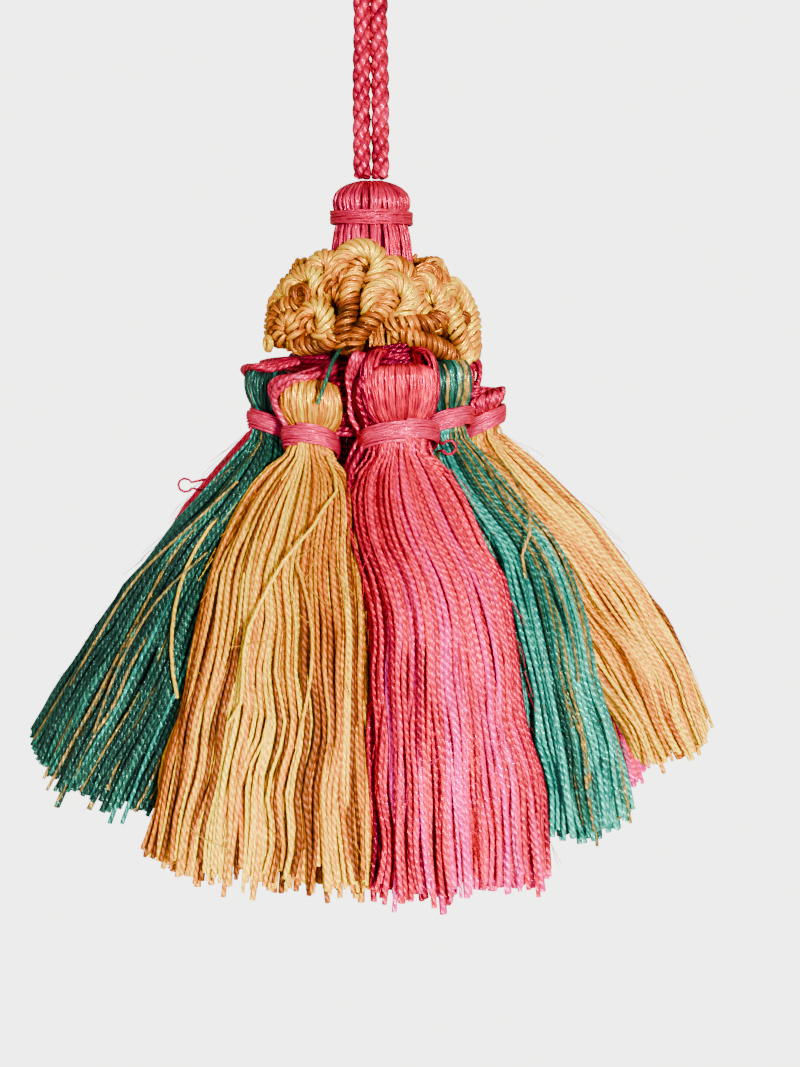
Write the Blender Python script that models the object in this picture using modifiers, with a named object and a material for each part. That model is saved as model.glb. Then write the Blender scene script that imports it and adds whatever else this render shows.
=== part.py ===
"""Key tassel: a wrapped head on a doubled hanging cord, a ruff of rope loops and a ring of small tassels.

Blender 4.5, metres, +Z up. The origin is where a hook bears, inside the top of the hanging loop.
Azimuths are in degrees: 0 faces the front (-Y) and they grow towards the right (+X).
"""

import math
import random
from collections import namedtuple

import bmesh
import bpy
from mathutils import Vector

# ---- driving dimensions
GAP = 0.0003  # clearance between touching pieces
WELD = 0.00001  # points nearer than this are one

CORD_D = 0.0020
CORD_SPREAD = 0.0023  # between the two runs of the doubled cord
CORD_STEP = 0.0038  # between the points of its curve
LOOP_WIDTH = 0.0130  # the open end of the hanging loop
LOOP_OPEN = 0.0240  # height over which it opens
HEAD_TOP = -0.0460

STEM_R = 0.0053
STEM_SHOULDER = -0.0570  # below this the stem keeps its radius
STEM_END = -0.0708
CAP_R = 0.0050
CAP_DOME = 0.0027  # height of the cap's domed top
BAND_TOP = -0.0497
BAND_BOTTOM = -0.0517
BAND_R = 0.0052
BAND_SINK = 0.0007  # how far the band is let into the head
EDGE = 0.0001  # of a turned edge that is taken off
TURN_STEPS = 18

ROPE_R = 0.0017  # of the ruff's rope
RUFF_CORE_R = 0.0085
RUFF_CORE_TUBE = 0.0028  # half the width of the core, which is taller by RUFF_CORE_TALL
RUFF_CORE_TALL = 1.25
RUFF_CORE_Z = -0.0634
RUFF_SEED = 11
RUFF_STRAY = 5.0  # degrees that a loop may stand off its even place
RUFF_LIFT = 0.0005  # and its height
RUFF_LEAN = 0.0013  # and how far its crest may lean sideways
RUFF_VOXEL = 0.00055
RUFF_KEEP = 0.10  # share of the remeshed faces that is kept

NECK_TILT = 0.30  # rise of a neck section per unit outwards
HEM_TILT = 0.34
SKIRT_WIDEN = 0.012  # added to a skirt's half width by the time it is fully flared
LOBE = 0.02  # depth of the soft lobes round a skirt
LOBE_COUNT = 5.0
SECTION_SIDES = 18
TWIST_DROP = 0.030  # below the neck by this much, a skirt fills its hem sector

BINDING_HALF = 0.00175
BINDING_THICK = 0.00085
BINDING_BULGE = 0.3  # share of the thickness that its edges lack
TIE_R = 0.0010
TIE_CLEAR = 0.00045  # between a tie and the head that it lies on
TIE_STEP = 0.0028  # between the points of its curve
TIE_Z = -0.0679  # where the ties pass under the ruff
TIE_OUT_R = 0.0095  # a tie runs straight out from the stem to here
TIE_OVER_R = 0.0125  # then as far as this, if it crosses its head
TIE_VALLEY_R = 0.0140  # or to these two, if it runs out between two heads
TIE_ELBOW_R = 0.0172
TIE_ROOM = 5.0  # degrees clear of the neighbour's border that a crossing tie needs
OVER_TURN = -25.0  # degrees from facing out, where a tie crosses the top of a folded head
SHOULDER_TURN = -46.0  # and where it comes down

# ---- the ring of small tassels. neck, left and right are azimuths: of the neck, and of the two
# sides of the sector that the hem fills. ring and neck_z place the neck, and fold is how far the
# folded head rises over it. reach and depth are the hem's outer radius and its depth inwards,
# drop is how far it hangs below the neck, and bow says how much the skirt bulges on its way
# (0 straight, 1 full). tie is the azimuth where its tie leaves the stem.
Small = namedtuple(
    "Small", "name yarn neck ring neck_z fold left right reach depth drop bow tie"
)
# fmt: off
SMALL_TASSELS = [
    Small("teal_left", "teal", -71, .0140, -.0768, .0070, -98, -43.5, .0465, .017, .0415, .15, -58),
    Small("gold_left", "gold", -29, .0150, -.0775, .0070, -42.5, 1, .0420, .017, .0460, .85, -33),
    Small("pink_front", "pink", 12, .0150, -.0772, .0087, 1.8, 31.5, .0425, .017, .0470, .90, -8.5),
    Small("teal_right", "teal", 49.5, .0150, -.0758, .0074, 32.3, 51, .0430, .018, .0445, .90, 31),
    Small("gold_right", "gold", 87, .0150, -.0750, .0064, 56, 97, .0450, .015, .0415, .72, 69),
    Small("pink_right", "pink", 126.5, .0150, -.0768, .0074, 98, 141, .0405, .014, .0525, .80, 107),
    Small("teal_back", "teal", 167, .0150, -.0765, .0062, 142, 184, .0430, .017, .0430, .75, 163),
    Small("gold_back", "gold", 208, .0150, -.0770, .0078, 185, 226, .0440, .017, .0440, .85, 188),
    Small("pink_left", "pink", 249, .0147, -.0764, .0060, 227, 261, .0430, .017, .0435, .70, 256),
]
# fmt: on

# ---- sections of a folded head and neck: height as a share of the fold's rise, above the
# binding, and half the width and depth there
Fold = namedtuple("Fold", "rise half_width half_depth")
FOLDS = [
    Fold(1.00, 0.0024, 0.0006),
    Fold(0.92, 0.0036, 0.0020),
    Fold(0.74, 0.0043, 0.0033),
    Fold(0.46, 0.0047, 0.0038),
    Fold(0.20, 0.0044, 0.0037),
]
NECK_HALF_WIDTH = 0.0035
NECK_HALF_DEPTH = 0.0031

# ---- one section of a small tassel: its height at the middle, its inner and outer radius, its
# half width, how much of the sector it fills (0 to 1), how square it is (2 is an ellipse) and
# how steeply it rises outwards
Place = namedtuple("Place", "z inner outer half_width fill square tilt")

# ---- sections of a skirt: how far down it is, how far its outer and inner faces have flared
Flare = namedtuple("Flare", "down outer inner fill square")
FLARES = [
    Flare(0.07, 0.070, 0.01, 0.05, 2.0),
    Flare(0.16, 0.220, 0.06, 0.80, 2.2),
    Flare(0.32, 0.470, 0.20, 0.95, 2.4),
    Flare(0.55, 0.730, 0.45, 1.00, 2.7),
    Flare(0.78, 0.915, 0.76, 1.00, 2.9),
    Flare(0.97, 1.000, 0.98, 1.00, 3.0),
    Flare(1.00, 0.975, 1.03, 0.95, 3.0),
]

# ---- the ruff's rope loops, in three tiers
Tier = namedtuple("Tier", "count foot_z top_z foot_r top_r half_span first")
TIERS = [
    Tier(7, -0.0600, -0.0557, 0.0079, 0.0077, 0.0026, -8.0),
    Tier(8, -0.0638, -0.0594, 0.0098, 0.0102, 0.0028, 18.0),
    Tier(10, -0.0653, -0.0634, 0.0112, 0.0121, 0.0029, -30.0),
]

YARNS = {
    "rose": ((0.62, 0.10, 0.20), 0.55),
    "rope_gold": ((0.72, 0.42, 0.08), 0.40),
    "teal": ((0.02, 0.20, 0.18), 0.55),
    "gold": ((0.75, 0.45, 0.09), 0.55),
    "pink": ((0.70, 0.06, 0.15), 0.55),
}


# ---- helpers
def mix(a, b, t):
    return a + (b - a) * t


def smooth(t):
    t = min(max(t, 0.0), 1.0)
    return t * t * (3.0 - 2.0 * t)


def polar(radius, azimuth, z):
    """A point from its distance to the axis, its azimuth in degrees and its height."""
    angle = math.radians(azimuth)
    return Vector((radius * math.sin(angle), -radius * math.cos(angle), z))


def smooth_path(route, spacing):
    """Points about this far apart on the Catmull-Rom curve through a route's points."""
    ends = [2 * route[0] - route[1], *route, 2 * route[-1] - route[-2]]
    path = []
    for before, start, end, after in zip(ends, ends[1:], ends[2:], ends[3:]):
        steps = max(1, round((end - start).length / spacing))
        for i in range(steps):
            t = i / steps
            path.append(
                0.5
                * (
                    2 * start
                    + (end - before) * t
                    + (2 * before - 5 * start + 4 * end - after) * t**2
                    + (3 * start - 3 * end + after - before) * t**3
                )
            )
    return [*path, route[-1].copy()]


def yarn_material(name):
    mat = bpy.data.materials.get(name)
    if mat:
        return mat
    (red, green, blue), roughness = YARNS[name]
    mat = bpy.data.materials.new(name)
    mat.use_nodes = True
    mat.diffuse_color = (red, green, blue, 1.0)
    shader = mat.node_tree.nodes["Principled BSDF"]
    shader.inputs["Base Color"].default_value = (red, green, blue, 1.0)
    shader.inputs["Roughness"].default_value = roughness
    shader.inputs["Metallic"].default_value = 0.0
    return mat


def finish(name, data, yarn, collection):
    """An object in the part's collection with its yarn, and a mesh shaded smooth."""
    obj = bpy.data.objects.new(name, data)
    data.materials.append(yarn_material(yarn))
    if obj.type == "MESH":
        data.shade_smooth()
    collection.objects.link(obj)
    return obj


def loft(name, rings, closed_path=False):
    """A mesh through rings of points. Its two ends are filled, or joined when the path closes."""
    bm = bmesh.new()
    rows = [[bm.verts.new(point) for point in ring] for ring in rings]
    pairs = list(zip(rows, rows[1:]))
    if closed_path:
        pairs.append((rows[-1], rows[0]))
    for upper, lower in pairs:
        for i, here in enumerate(upper):
            after = (i + 1) % len(upper)
            bm.faces.new((here, lower[i], lower[after], upper[after]))
    if not closed_path:
        bm.faces.new(rows[0])
        bm.faces.new(reversed(rows[-1]))
    data = bpy.data.meshes.new(name)
    bm.to_mesh(data)
    bm.free()
    return data


def tube(name, path, radius, resolution):
    """A curve through these points with a round bevel and filled caps."""
    data = bpy.data.curves.new(name, "CURVE")
    data.dimensions = "3D"
    data.bevel_depth = radius
    data.bevel_resolution = resolution
    data.use_fill_caps = True
    spline = data.splines.new("POLY")
    spline.points.add(len(path) - 1)
    for point, place in zip(spline.points, path):
        point.co = (*place, 1.0)
    return data


def turned(name, profile, yarn, collection):
    """A profile of (radius, z) pairs, from top to bottom, turned about Z."""
    data = bpy.data.meshes.new(name)
    points = [(radius, 0.0, z) for radius, z in profile]
    edges = [(i, i + 1) for i in range(len(points) - 1)]
    if profile[0][0] > 0:
        edges.append((len(points) - 1, 0))
    data.from_pydata(points, edges, [])
    obj = finish(name, data, yarn, collection)
    screw = obj.modifiers.new("Turn", "SCREW")
    screw.axis = "Z"
    screw.steps = TURN_STEPS
    screw.render_steps = TURN_STEPS
    screw.use_merge_vertices = True
    screw.merge_threshold = WELD
    screw.use_smooth_shade = True
    return obj


# ---- hanging loop
def loop_route():
    """Up from the head, round the open end of the loop and down again."""
    half = CORD_SPREAD / 2
    wide = LOOP_WIDTH / 2
    crest = CORD_D / 2
    start = HEAD_TOP + GAP
    right = [
        Vector((half, 0.0, start)),
        Vector((half, 0.0, mix(start, -LOOP_OPEN, 0.5))),
        Vector((half, 0.0, -LOOP_OPEN)),
        Vector((mix(half, wide, 0.45), 0.0, -0.66 * LOOP_OPEN)),
        Vector((0.97 * wide, 0.0, -0.34 * LOOP_OPEN)),
        Vector((0.80 * wide, 0.0, crest - 0.11 * LOOP_OPEN)),
    ]
    left = [Vector((-point.x, 0.0, point.z)) for point in right]
    return [*left, Vector((0.0, 0.0, crest)), *reversed(right)]


def make_hanging_loop(collection):
    path = smooth_path(loop_route(), CORD_STEP)
    finish("hanging_loop", tube("hanging_loop", path, CORD_D / 2, 2), "rose", collection)


# ---- head
def make_head(collection):
    """The cap, the seat of its band and the stem that the ruff and the ties sit on."""
    seat = BAND_R - BAND_SINK
    dome_steps = 5
    dome = []
    for step in range(dome_steps):
        angle = math.pi / 2 * step / dome_steps
        dome.append((CAP_R * math.sin(angle), HEAD_TOP - CAP_DOME * (1.0 - math.cos(angle))))
    profile = [
        *dome,
        (CAP_R, HEAD_TOP - CAP_DOME),
        (CAP_R - EDGE, BAND_TOP + GAP),
        (seat, BAND_TOP + GAP - EDGE),
        (seat, BAND_BOTTOM - GAP + EDGE),
        (seat + 2 * EDGE, BAND_BOTTOM - GAP),
        (STEM_R, STEM_SHOULDER),
        (STEM_R, STEM_END + 5 * EDGE),
        (STEM_R - 5 * EDGE, STEM_END),
        (0.0, STEM_END),
    ]
    turned("head", profile, "rose", collection)


def make_head_band(collection):
    """The wound band, let into the head just under its cap."""
    inner = BAND_R - BAND_SINK + GAP
    profile = [
        (inner, BAND_TOP),
        (BAND_R - EDGE, BAND_TOP),
        (BAND_R + EDGE, (BAND_TOP + BAND_BOTTOM) / 2),
        (BAND_R - EDGE, BAND_BOTTOM),
        (inner, BAND_BOTTOM),
    ]
    turned("head_band", profile, "rose", collection)


# ---- ruff
def ruff_loops():
    """The centre line of each rope loop: two feet on the core and a crest that stands out."""
    shuffle = random.Random(RUFF_SEED)
    steps = 8
    loops = []
    for tier in TIERS:
        for i in range(tier.count):
            azimuth = tier.first + 360.0 * i / tier.count + shuffle.uniform(-1, 1) * RUFF_STRAY
            lift = shuffle.uniform(-1, 1) * RUFF_LIFT
            lean = shuffle.uniform(-1, 1) * RUFF_LEAN
            half_span = tier.half_span * shuffle.uniform(0.85, 1.1)
            route = []
            for step in range(steps + 1):
                turn = math.pi * step / steps
                rise = math.sin(turn)
                radius = mix(tier.foot_r, tier.top_r, rise)
                across = -half_span * math.cos(turn) + lean * rise
                z = mix(tier.foot_z, tier.top_z, rise) + lift
                route.append(polar(radius, azimuth + math.degrees(across / radius), z))
            loops.append(route)
    return loops


def ruff_core(steps=24, sides=8):
    """A ring with an oval section, as a closed row of its sections."""
    rings = []
    for step in range(steps):
        ring = []
        for side in range(sides):
            turn = 2 * math.pi * side / sides
            radius = RUFF_CORE_R + RUFF_CORE_TUBE * math.cos(turn)
            z = RUFF_CORE_Z + RUFF_CORE_TALL * RUFF_CORE_TUBE * math.sin(turn)
            ring.append(polar(radius, 360.0 * step / steps, z))
        rings.append(ring)
    return rings


def make_ruff(collection):
    """The loops and the core they are sewn to, remeshed into one skin."""
    guides = []
    for i, route in enumerate(ruff_loops()):
        guide = bpy.data.objects.new(f"rope_{i}", tube(f"rope_{i}", route, ROPE_R, 2))
        collection.objects.link(guide)
        guides.append(guide)
    graph = bpy.context.evaluated_depsgraph_get()
    bm = bmesh.new()
    for guide in guides:
        piece = bpy.data.meshes.new_from_object(guide.evaluated_get(graph))
        bm.from_mesh(piece)
        bpy.data.meshes.remove(piece)
        bpy.data.objects.remove(guide, do_unlink=True)
    bmesh.ops.remove_doubles(bm, verts=bm.verts, dist=WELD)
    core = loft("ruff_core", ruff_core(), closed_path=True)
    bm.from_mesh(core)
    bpy.data.meshes.remove(core)
    data = bpy.data.meshes.new("ruff")
    bm.to_mesh(data)
    bm.free()
    obj = finish("ruff", data, "rope_gold", collection)
    remesh = obj.modifiers.new("One skin", "REMESH")
    remesh.mode = "VOXEL"
    remesh.voxel_size = RUFF_VOXEL
    remesh.use_smooth_shade = True
    fewer = obj.modifiers.new("Fewer faces", "DECIMATE")
    fewer.ratio = RUFF_KEEP


# ---- small tassels
def neck_border(index, side):
    """The azimuth halfway to the next neck on that side, -1 for left and +1 for right."""
    here = SMALL_TASSELS[index].neck
    other = SMALL_TASSELS[(index + side) % len(SMALL_TASSELS)].neck
    gap = (other - here) * side % 360.0
    return here + side * gap / 2


def section_point(small, index, place, turn, grow):
    """The point of a section at this turn (radians, 0 facing out, negative to the left)."""
    middle_r = (place.inner + place.outer) / 2
    half_depth = (place.outer - place.inner) / 2 + grow
    side, out = math.sin(turn), math.cos(turn)
    side = math.copysign(abs(side) ** (2 / place.square), side)
    out = math.copysign(abs(out) ** (2 / place.square), out)
    lobe = 1.0 - LOBE * place.fill * (1.0 + math.sin(LOBE_COUNT * turn + 2.1 * index))
    radius = middle_r + half_depth * out * lobe
    z = place.z + place.tilt * (radius - middle_r)
    twist = smooth((small.neck_z - z) / TWIST_DROP)
    left = mix(neck_border(index, -1), small.left, twist)
    right = mix(neck_border(index, 1), small.right, twist)
    room = (right - left) / 2 - math.degrees(GAP / 2 / radius)
    own = math.degrees((place.half_width + grow) / middle_r)
    half = min(mix(own, room, place.fill), room)
    centre = mix(small.neck, (left + right) / 2, smooth(twist * 1.5))
    return polar(radius, centre + half * side * lobe, z)


def section(index, place, grow=0.0):
    """One closed ring of points round a small tassel, moved outwards by grow."""
    small = SMALL_TASSELS[index]
    turns = [2 * math.pi * i / SECTION_SIDES for i in range(SECTION_SIDES)]
    return [section_point(small, index, place, turn, grow) for turn in turns]


def neck_place(index, rise):
    """The round section of a neck, inside its binding, this far above its middle."""
    small = SMALL_TASSELS[index]
    inner, outer = small.ring - NECK_HALF_DEPTH, small.ring + NECK_HALF_DEPTH
    return Place(small.neck_z + rise, inner, outer, NECK_HALF_WIDTH, 0.0, 2.0, NECK_TILT)


def fold_place(index, fold):
    small = SMALL_TASSELS[index]
    z = small.neck_z + mix(BINDING_HALF, small.fold, fold.rise)
    inner, outer = small.ring - fold.half_depth, small.ring + fold.half_depth
    return Place(z, inner, outer, fold.half_width, 0.0, 2.0, NECK_TILT)


def flare_place(index, flare):
    small = SMALL_TASSELS[index]
    flared = mix(flare.down, flare.outer, small.bow)
    outer = mix(small.ring + NECK_HALF_DEPTH, small.reach, flared)
    inner = mix(small.ring - NECK_HALF_DEPTH, small.reach - small.depth, flare.inner)
    width = NECK_HALF_WIDTH + SKIRT_WIDEN * flare.outer
    z = small.neck_z - mix(BINDING_HALF, small.drop, flare.down)
    tilt = mix(NECK_TILT, HEM_TILT, flare.down)
    return Place(z, inner, outer, width, flare.fill, flare.square, tilt)


def make_small_tassel(index, collection):
    small = SMALL_TASSELS[index]
    places = [fold_place(index, fold) for fold in FOLDS]
    places += [neck_place(index, BINDING_HALF), neck_place(index, -BINDING_HALF)]
    places += [flare_place(index, flare) for flare in FLARES]
    name = f"tassel_{small.name}"
    rings = [section(index, place) for place in places]
    finish(name, loft(name, rings), small.yarn, collection)


def make_binding(index, collection):
    """The wound thread round a neck: a band that bulges between its edges."""
    edge = BINDING_HALF - 2 * EDGE
    shoulder = GAP + BINDING_THICK * (1.0 - BINDING_BULGE)
    rows = [
        (GAP, edge),
        (shoulder, edge),
        (GAP + BINDING_THICK, 0.0),
        (shoulder, -edge),
        (GAP, -edge),
    ]
    rings = [section(index, neck_place(index, height), grow) for grow, height in rows]
    name = f"binding_{SMALL_TASSELS[index].name}"
    finish(name, loft(name, rings, closed_path=True), "rose", collection)


def tie_route(index):
    """Out from the stem under the ruff, then down one shoulder of a folded head.

    It crosses the fold where there is room over it, and otherwise runs out between two heads.
    """
    small = SMALL_TASSELS[index]
    clear = TIE_R + TIE_CLEAR
    crosses = small.tie > neck_border(index, -1) + TIE_ROOM
    radii = [STEM_R + GAP, TIE_OUT_R]
    radii += [TIE_OVER_R] if crosses else [TIE_VALLEY_R, TIE_ELBOW_R]
    route = [polar(radius, small.tie, TIE_Z) for radius in radii]
    if crosses:
        rows = list(zip(FOLDS[1:], (0.0, 0.5, 1.0, 1.0), (0.9, 0.5, 0.1, 0.0)))
    else:
        rows = list(zip(FOLDS[3:], (1.0, 1.0), (0.0, 0.0)))
    for fold, across, lift in rows:
        turn = math.radians(mix(OVER_TURN, SHOULDER_TURN, across))
        point = section_point(small, index, fold_place(index, fold), turn, clear)
        route.append(point + Vector((0.0, 0.0, lift * clear)))
    return route


def make_tie(index, collection):
    name = f"tie_{SMALL_TASSELS[index].name}"
    path = smooth_path(tie_route(index), TIE_STEP)
    finish(name, tube(name, path, TIE_R, 1), "rose", collection)


def main():
    for obj in list(bpy.data.objects):
        bpy.data.objects.remove(obj, do_unlink=True)
    collection = bpy.data.collections.new("Key tassel")
    bpy.context.scene.collection.children.link(collection)
    make_hanging_loop(collection)
    make_head(collection)
    make_head_band(collection)
    make_ruff(collection)
    for index in range(len(SMALL_TASSELS)):
        make_small_tassel(index, collection)
        make_binding(index, collection)
        make_tie(index, collection)


main()
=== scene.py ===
# %% [markdown]
# # A key tassel in yarn
#
# A key tassel hangs from a doubled cord. Its wrapped head carries a ruff of rope loops, and under
# the ruff a ring of nine small tassels spreads into a skirt. The solids that the checks use hold
# the sizes and places. This script spins the yarn that you see: about five thousand strands.
#
# The first step loads those solids as a fixed frame. Every piece that is made here then stands
# for one of them.

# %% Load the frame
import math
import random
from collections import namedtuple

import bmesh
import bpy
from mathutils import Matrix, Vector, noise


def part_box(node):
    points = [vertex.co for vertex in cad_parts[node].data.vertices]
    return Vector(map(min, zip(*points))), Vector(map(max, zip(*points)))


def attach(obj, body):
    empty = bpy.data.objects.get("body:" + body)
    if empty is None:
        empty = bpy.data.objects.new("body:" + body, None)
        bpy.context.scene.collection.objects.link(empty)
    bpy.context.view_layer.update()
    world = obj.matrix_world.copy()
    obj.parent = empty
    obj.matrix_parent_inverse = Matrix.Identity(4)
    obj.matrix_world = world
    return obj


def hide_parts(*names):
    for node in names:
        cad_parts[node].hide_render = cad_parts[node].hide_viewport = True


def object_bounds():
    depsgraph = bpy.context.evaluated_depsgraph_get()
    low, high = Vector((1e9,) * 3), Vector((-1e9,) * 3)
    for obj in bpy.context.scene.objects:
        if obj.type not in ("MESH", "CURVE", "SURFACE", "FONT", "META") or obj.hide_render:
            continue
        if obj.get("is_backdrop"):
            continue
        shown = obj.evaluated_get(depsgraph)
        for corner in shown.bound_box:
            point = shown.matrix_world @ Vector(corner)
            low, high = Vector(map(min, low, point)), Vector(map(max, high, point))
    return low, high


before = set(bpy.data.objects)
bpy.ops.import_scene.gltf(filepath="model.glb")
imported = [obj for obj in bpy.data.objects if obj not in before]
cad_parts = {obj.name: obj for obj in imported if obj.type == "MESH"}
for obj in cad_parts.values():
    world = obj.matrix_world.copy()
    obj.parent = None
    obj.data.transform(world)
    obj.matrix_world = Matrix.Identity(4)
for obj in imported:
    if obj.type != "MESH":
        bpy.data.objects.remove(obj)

NOISE_SEED = 4
noise.seed_set(NOISE_SEED)  # without it, noise vectors differ from run to run
cad_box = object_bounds()
print("solids:", len(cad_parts), "in the frame")

# %% [markdown]
# ## The camera
#
# The camera comes first, because the cord is measured against what it sees. It stands a little
# above the tassel and close to it, so the near skirts look larger than the far ones.

# %% Place the camera
LOOK_AT = Vector((0.0036, 0.0, -0.09135))
CAMERA_DISTANCE = 0.160
CAMERA_RISE = math.radians(12.0)
SENSOR = 36.0
LENS = 40.5

camera_data = bpy.data.cameras.new("view")
camera_data.sensor_width = SENSOR
camera_data.lens = LENS
camera_data.clip_start = 0.001
camera = bpy.data.objects.new("view", camera_data)
back = Vector((0.0, -math.cos(CAMERA_RISE), math.sin(CAMERA_RISE)))
camera.location = LOOK_AT + CAMERA_DISTANCE * back
camera.rotation_euler = (math.pi / 2 - CAMERA_RISE, 0.0, 0.0)
bpy.context.scene.collection.objects.link(camera)
bpy.context.scene.camera = camera
print("camera at", [round(value, 4) for value in camera.location])

# %% [markdown]
# ## Places and paths
#
# Almost everything here is a strand on its path, so a few small helpers come first. They place a
# point round the tassel's axis, read a table between its rows, round off a route, and give a
# strand the small wander that real yarn has. All sizes are in metres.

# %% Small helpers
MM = 0.001
GAP = 0.0003  # between pieces that touch
STRAND_R = 0.00040  # half the width of one strand
UP = Vector((0.0, 0.0, 1.0))


def mix(a, b, t):
    return a + (b - a) * t


def smooth(t):
    """0 up to 0, 1 from 1 on, and an even ease between them."""
    t = min(max(t, 0.0), 1.0)
    return t * t * (3.0 - 2.0 * t)


def polar(radius, azimuth, z):
    """A point from its distance to the axis, its azimuth in degrees and its height."""
    angle = math.radians(azimuth)
    return Vector((radius * math.sin(angle), -radius * math.cos(angle), z))


def row_at(rows, at):
    """The row of a table at this value of its first column, between two of its rows."""
    for low, high in zip(rows, rows[1:]):
        if at <= high[0]:
            break
    share = (at - low[0]) / (high[0] - low[0])
    return type(low)(*(mix(a, b, share) for a, b in zip(low, high)))


def smooth_path(route, spacing):
    """Points about this far apart on the Catmull-Rom curve through a route's points."""
    ends = [2 * route[0] - route[1], *route, 2 * route[-1] - route[-2]]
    path = []
    for before, start, end, after in zip(ends, ends[1:], ends[2:], ends[3:]):
        steps = max(1, round((end - start).length / spacing))
        for i in range(steps):
            t = i / steps
            path.append(
                0.5
                * (
                    2 * start
                    + (end - before) * t
                    + (2 * before - 5 * start + 4 * end - after) * t**2
                    + (3 * start - 3 * end + after - before) * t**3
                )
            )
    return [*path, route[-1].copy()]


def wander(seed, along, size):
    """A slow, smooth offset that belongs to this seed, up to about size."""
    return size * noise.noise_vector(Vector((17.31 * seed, along, 3.7 * seed)))


print("one strand is", 2 * STRAND_R / MM, "mm wide")

# %% [markdown]
# ## Two Geometry Nodes trees that make all the yarn
#
# Yarn is a path that repeats, so Geometry Nodes suit it. A single strand is a round profile
# swept along its path. In a thicker rope each ply shows, so there each ply is a curve that runs
# round the path as a helix before it gets its profile.
#
# The paths come in as a mesh of edges. Its points carry a `dye` value, which later picks a
# colour, a `thick` value and a random `start`. These reach the finished surface by themselves.
# The trees also unwrap each strand: U runs once round it, and V is its length in millimetres.
# The twist of the two fine plies inside a strand is too small to model thousands of times over,
# so the material draws it from this unwrap.


# %% A small kit for node trees
def new_tree(name, kind, inputs, outputs):
    """A node group with these sockets, and its input and output nodes."""
    tree = bpy.data.node_groups.new(name, kind)
    for socket, socket_type, value in inputs:
        item = tree.interface.new_socket(socket, in_out="INPUT", socket_type=socket_type)
        if value is not None:
            item.default_value = value
    for socket, socket_type in outputs:
        tree.interface.new_socket(socket, in_out="OUTPUT", socket_type=socket_type)
    return tree, tree.nodes.new("NodeGroupInput"), tree.nodes.new("NodeGroupOutput")


def add(tree, kind, links=(), **settings):
    """A node with its settings, and the values or sockets that go into its inputs."""
    node = tree.nodes.new(kind)
    for key, value in settings.items():
        setattr(node, key, value)
    for socket, source in dict(links).items():
        if isinstance(source, bpy.types.NodeSocket):
            tree.links.new(source, node.inputs[socket])
        else:
            node.inputs[socket].default_value = source
    return node


def maths(tree, operation, *values):
    """The result of a maths node on these values or sockets."""
    return add(tree, "ShaderNodeMath", enumerate(values), operation=operation).outputs[0]


def mapped(tree, value, low, high, from_low=0.0, from_high=1.0):
    """The value, moved from one range to another."""
    links = {"Value": value, "From Min": from_low, "From Max": from_high}
    links.update({"To Min": low, "To Max": high})
    return add(tree, "ShaderNodeMapRange", links).outputs["Result"]


def named(tree, name):
    """What a point carries under this name."""
    node = add(tree, "GeometryNodeInputNamedAttribute", {"Name": name}, data_type="FLOAT")
    return node.outputs["Attribute"]


def stored(tree, geometry, name, value):
    """The geometry, whose points now carry this value under this name."""
    links = {"Geometry": geometry, "Name": name, "Value": value}
    node = add(tree, "GeometryNodeStoreNamedAttribute", links, data_type="FLOAT", domain="POINT")
    return node.outputs["Geometry"]


# %% From edges to a smooth skin
def sampled_path(tree, group_in):
    """The incoming edges as smooth curves with a point at each step, and their length so far."""
    to_curve = add(tree, "GeometryNodeMeshToCurve", {"Mesh": group_in.outputs["Paths"]})
    links = {"Curve": to_curve.outputs["Curve"]}
    rounded = add(tree, "GeometryNodeCurveSplineType", links, spline_type="CATMULL_ROM")
    links = {"Curve": rounded.outputs["Curve"], "Length": group_in.outputs["Step"]}
    sampled = add(tree, "GeometryNodeResampleCurve", links, mode="LENGTH")
    length = tree.nodes.new("GeometryNodeSplineParameter").outputs["Length"]
    return stored(tree, sampled.outputs["Curve"], "along", length)


def round_profile(tree, group_in, radius):
    """A circle whose points know how far round they are, from 0 to 1."""
    links = {"Resolution": group_in.outputs["Sides"], "Radius": radius}
    circle = add(tree, "GeometryNodeCurvePrimitiveCircle", links).outputs["Curve"]
    factor = tree.nodes.new("GeometryNodeSplineParameter").outputs["Factor"]
    return stored(tree, circle, "around", factor)


SEAM_START = 0.01  # a point less far round than this is on the seam
SEAM_END = 0.3  # a face that touches the seam and is on average further round is the last one


def unwrapped(tree, mesh):
    """The mesh with its unwrap. The last face of each ring ends at 1, where its point says 0."""
    around = named(tree, "around")
    links = {"Value": around}
    on_faces = add(tree, "GeometryNodeFieldOnDomain", links, data_type="FLOAT", domain="FACE")
    average = on_faces.outputs["Value"]
    at_seam = maths(tree, "LESS_THAN", around, SEAM_START)
    last_face = maths(tree, "GREATER_THAN", average, SEAM_END)
    u = maths(tree, "ADD", around, maths(tree, "MULTIPLY", at_seam, last_face))
    v = maths(tree, "MULTIPLY", named(tree, "along"), 1.0 / MM)
    place = add(tree, "ShaderNodeCombineXYZ", {"X": u, "Y": v}).outputs["Vector"]
    links = {"Geometry": mesh, "Name": "yarn", "Value": place}
    node = add(
        tree, "GeometryNodeStoreNamedAttribute", links, data_type="FLOAT2", domain="CORNER"
    )
    return node.outputs["Geometry"]


def skinned(tree, group_in, group_out, curve, profile):
    """The curve with its profile as a smooth mesh, its instances realised, in its material."""
    links = {"Curve": curve, "Profile Curve": profile, "Fill Caps": True}
    links["Scale"] = named(tree, "thick")
    mesh = unwrapped(tree, add(tree, "GeometryNodeCurveToMesh", links).outputs["Mesh"])
    shaded = add(tree, "GeometryNodeSetShadeSmooth", {"Geometry": mesh}).outputs["Geometry"]
    real = add(tree, "GeometryNodeRealizeInstances", {"Geometry": shaded}).outputs["Geometry"]
    links = {"Geometry": real, "Material": group_in.outputs["Material"]}
    painted = add(tree, "GeometryNodeSetMaterial", links)
    tree.links.new(painted.outputs["Geometry"], group_out.inputs["Mesh"])


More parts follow.
